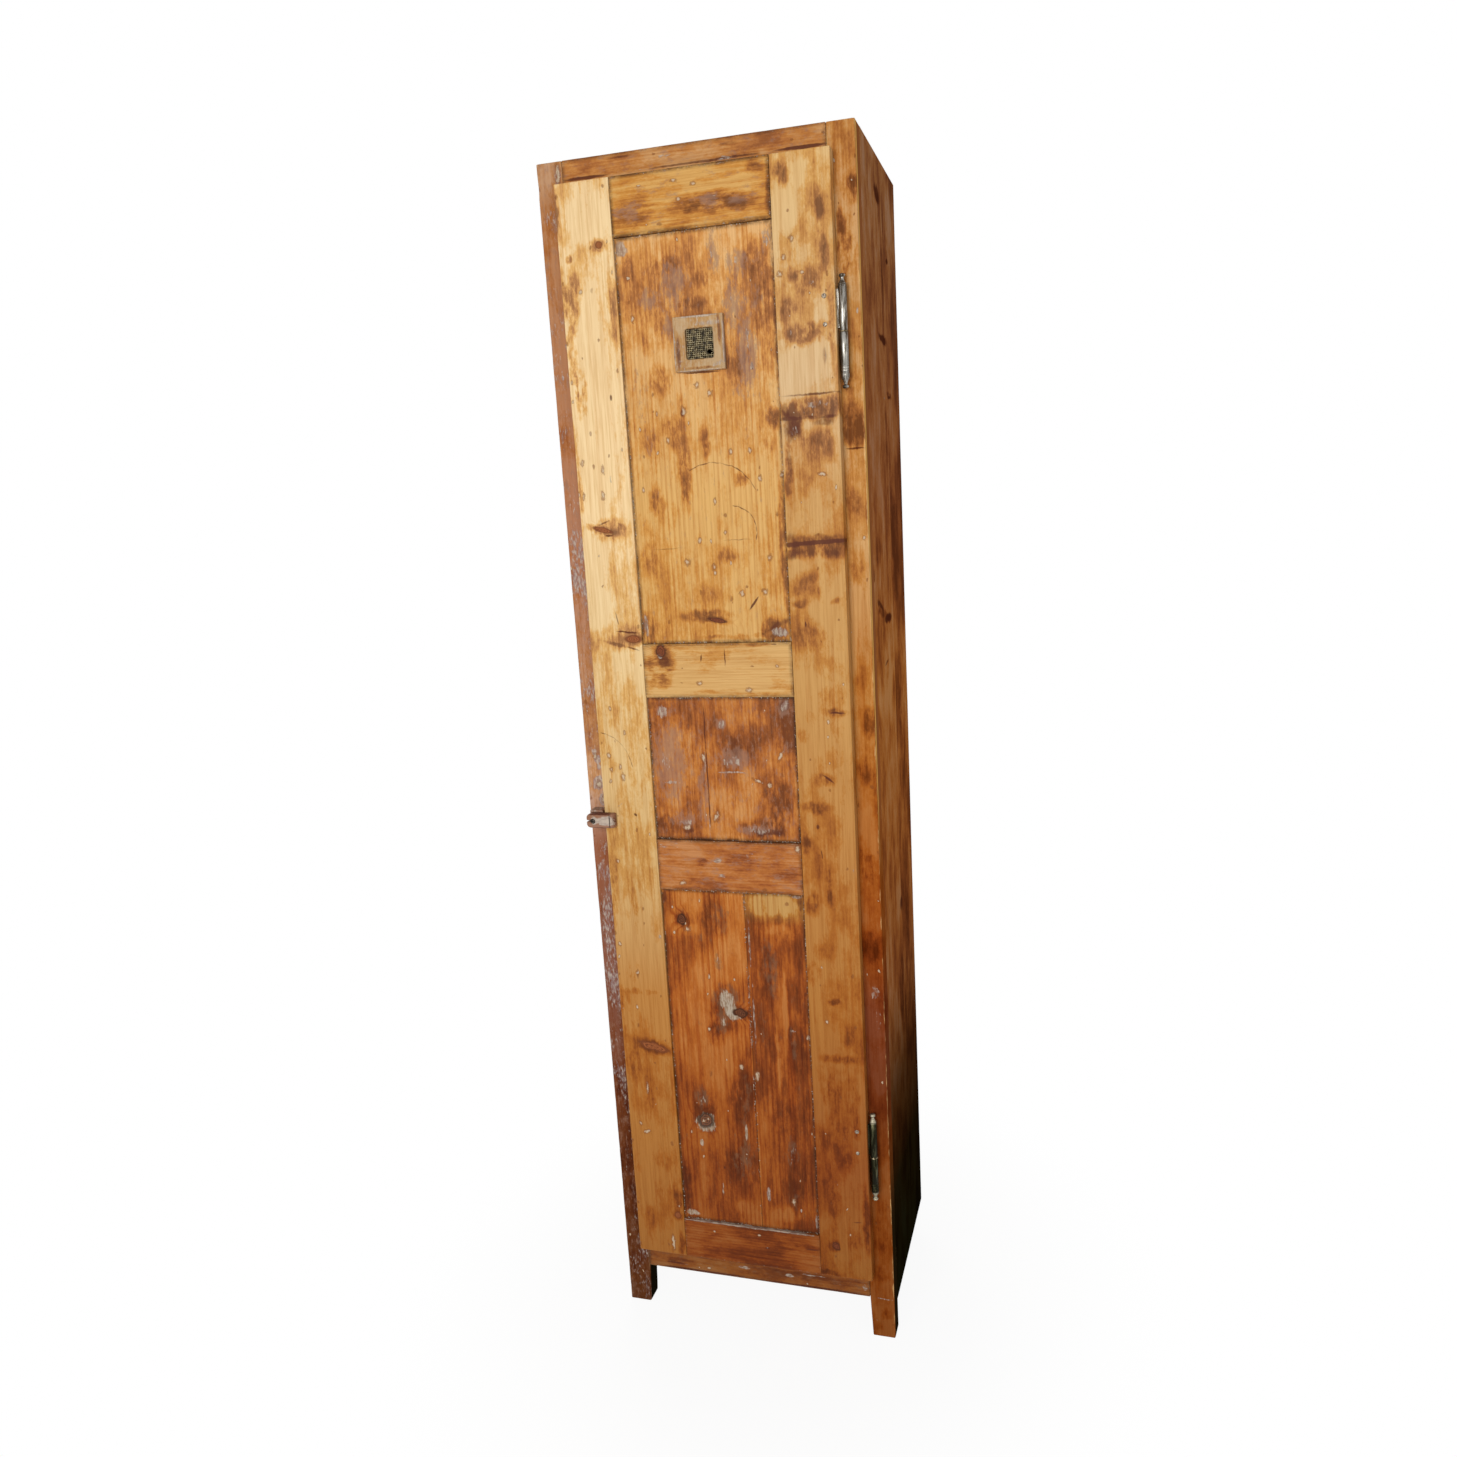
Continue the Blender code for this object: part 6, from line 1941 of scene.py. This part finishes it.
# %% Pegs
PEG_PROFILE = (
    (0.0, -10.0), (6.8, -10.0), (6.8, 0.0), (6.5, 14.0), (6.0, 34.0), (6.2, 50.0), (6.9, 58.0), (9.2, 60.0),
    (11.0, 62.4), (11.9, 65.6), (11.8, 68.6), (10.6, 71.4), (8.2, 73.6), (4.6, 74.7), (0.0, 75.0),
)
PEG_SIDES = 32
PEG_TILT = radians(12)
PEG_LOOK = {**DULL, "seed": 157, "ground": ((0, paint(186, 130, 72)),), "spacing": 3.0, "rough": 0.5}
RAIL_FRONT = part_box("peg_rail")[0].y
for side in ("left", "right"):
    node = f"{side}_coat_peg"
    bm = bmesh.new()
    lathe(bm, PEG_PROFILE, (0.0, 0.0, 0.0), PEG_SIDES)
    bmesh.ops.recalc_face_normals(bm, faces=bm.faces)
    turn_and_move(bm, pi / 2 - PEG_TILT, "X", (centre(node).x, RAIL_FRONT, centre("peg_rail").z))
    stand_for(new_piece(f"{node}_turned", bm), pine(f"{node}_pine", PEG_LOOK, *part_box(node)), node)
print("pegs: 2, leaning", round(PEG_TILT, 2))

# %% [markdown]
# ## Crumbs in the joints
# Old filler, paint and dust broke into crumbs that still lie in the corners between panels and frame.
# The path is a panel's outline as loose edges. The tree scatters points along it, keeps some of them
# by a random choice and puts a small lump on each.

# %% Crumbs
CRUMB_STEP = 2.2 * MM
CRUMB_INSET = 0.8 * MM
CRUMB_RISE = 0.1 * MM
CRUMB_ROUGHNESS = 0.85
CRUMB_SPECULAR = 0.1


def crumb_tree():
    """Lumps along every edge of a path."""
    numbers = ("Step", "Share", "Smallest", "Largest")
    inputs = {"Seed": "Int", **dict.fromkeys(numbers, "Float"), "Material": "Material"}
    given = geometry_tree("joint_crumbs", inputs)
    path = given.node("GeometryNodeMeshToCurve", (), {"Mesh": given})
    sockets = {"Curve": path, "Length": given.other("Step")}
    points = path.node("GeometryNodeCurveToPoints", {"mode": "LENGTH"}, sockets)
    place = points.node("GeometryNodeInputPosition")
    cloud = place.node("ShaderNodeTexNoise", (), {"Vector": place, "Scale": 22.0, "Detail": 2.0}, "Fac")
    chance = random_between(given, 0.0, 1.0)
    spare = chance.math("GREATER_THAN", chance, smooth(cloud, 0.42, 0.66) * given.other("Share"))
    sockets = {"Geometry": points, "Selection": spare}
    points = points.node("GeometryNodeDeleteGeometry", {"domain": "POINT"}, sockets)
    sway = random_between(given, (-1 * MM, -0.4 * MM, -1 * MM), (1 * MM, 0.2 * MM, 1 * MM))
    points = points.node("GeometryNodeSetPosition", (), {"Geometry": points, "Offset": sway})
    lump = given.node("GeometryNodeMeshIcoSphere", (), {"Radius": 1.0, "Subdivisions": 1})
    turn = random_between(given, (-3.0, -3.0, -3.0), (3.0, 3.0, 3.0))
    span = random_between(given, given.other("Smallest"), given.other("Largest"))
    shape = random_between(given, (0.6, 0.5, 0.6), (1.6, 0.9, 1.3))
    size = shape.node("ShaderNodeVectorMath", {"operation": "SCALE"}, {0: shape, "Scale": span})
    return deliver(scatter(points, lump, turn, size), given)


def crumb_finish():
    """Grey, chalky and brown crumbs, by their place."""
    material, shader, wire = new_material("crumbs")
    here = wire.node("ShaderNodeTexCoord", output="Object")
    cloud = here.node("ShaderNodeTexNoise", (), {"Vector": here, "Scale": 260.0, "Detail": 2.0}, "Fac")
    stops = [(0.30, paint(96, 66, 44)), (0.48, GREY_PAINT), (0.62, CHALK)]
    feed(shader, Base_Color=here.node("ShaderNodeValToRGB", {"stops": stops}, {"Fac": cloud}, "Color"))
    shader.inputs["Roughness"].default_value = CRUMB_ROUGHNESS
    shader.inputs["Specular IOR Level"].default_value = CRUMB_SPECULAR
    return material


def panel_path(name, panels):
    """The outlines of some panels as loose edges, just inside their faces."""
    bm = bmesh.new()
    for node in panels:
        low, high = trimmed(node, **PANEL_SPANS[node])
        left, right = low[0] + CRUMB_INSET, high[0] - CRUMB_INSET
        bottom, top = low[2] + CRUMB_INSET, high[2] - CRUMB_INSET
        outline = ((left, bottom), (right, bottom), (right, top), (left, top))
        corners = [bm.verts.new((x, low[1] + CRUMB_RISE, z)) for x, z in outline]
        for index in range(4):
            bm.edges.new((corners[index - 1], corners[index]))
    return new_piece(name, bm)


crumbs = panel_path("joint_crumbs", PANELS)
grow(crumbs, crumb_tree(), {
    "Seed": 3, "Step": CRUMB_STEP, "Share": 0.85, "Smallest": 0.25 * MM, "Largest": 1.15 * MM,
    "Material": crumb_finish(),
})
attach(crumbs, BODY_OF["upper_panel"])
print("crumbs:", len(crumbs.data.polygons), "faces")
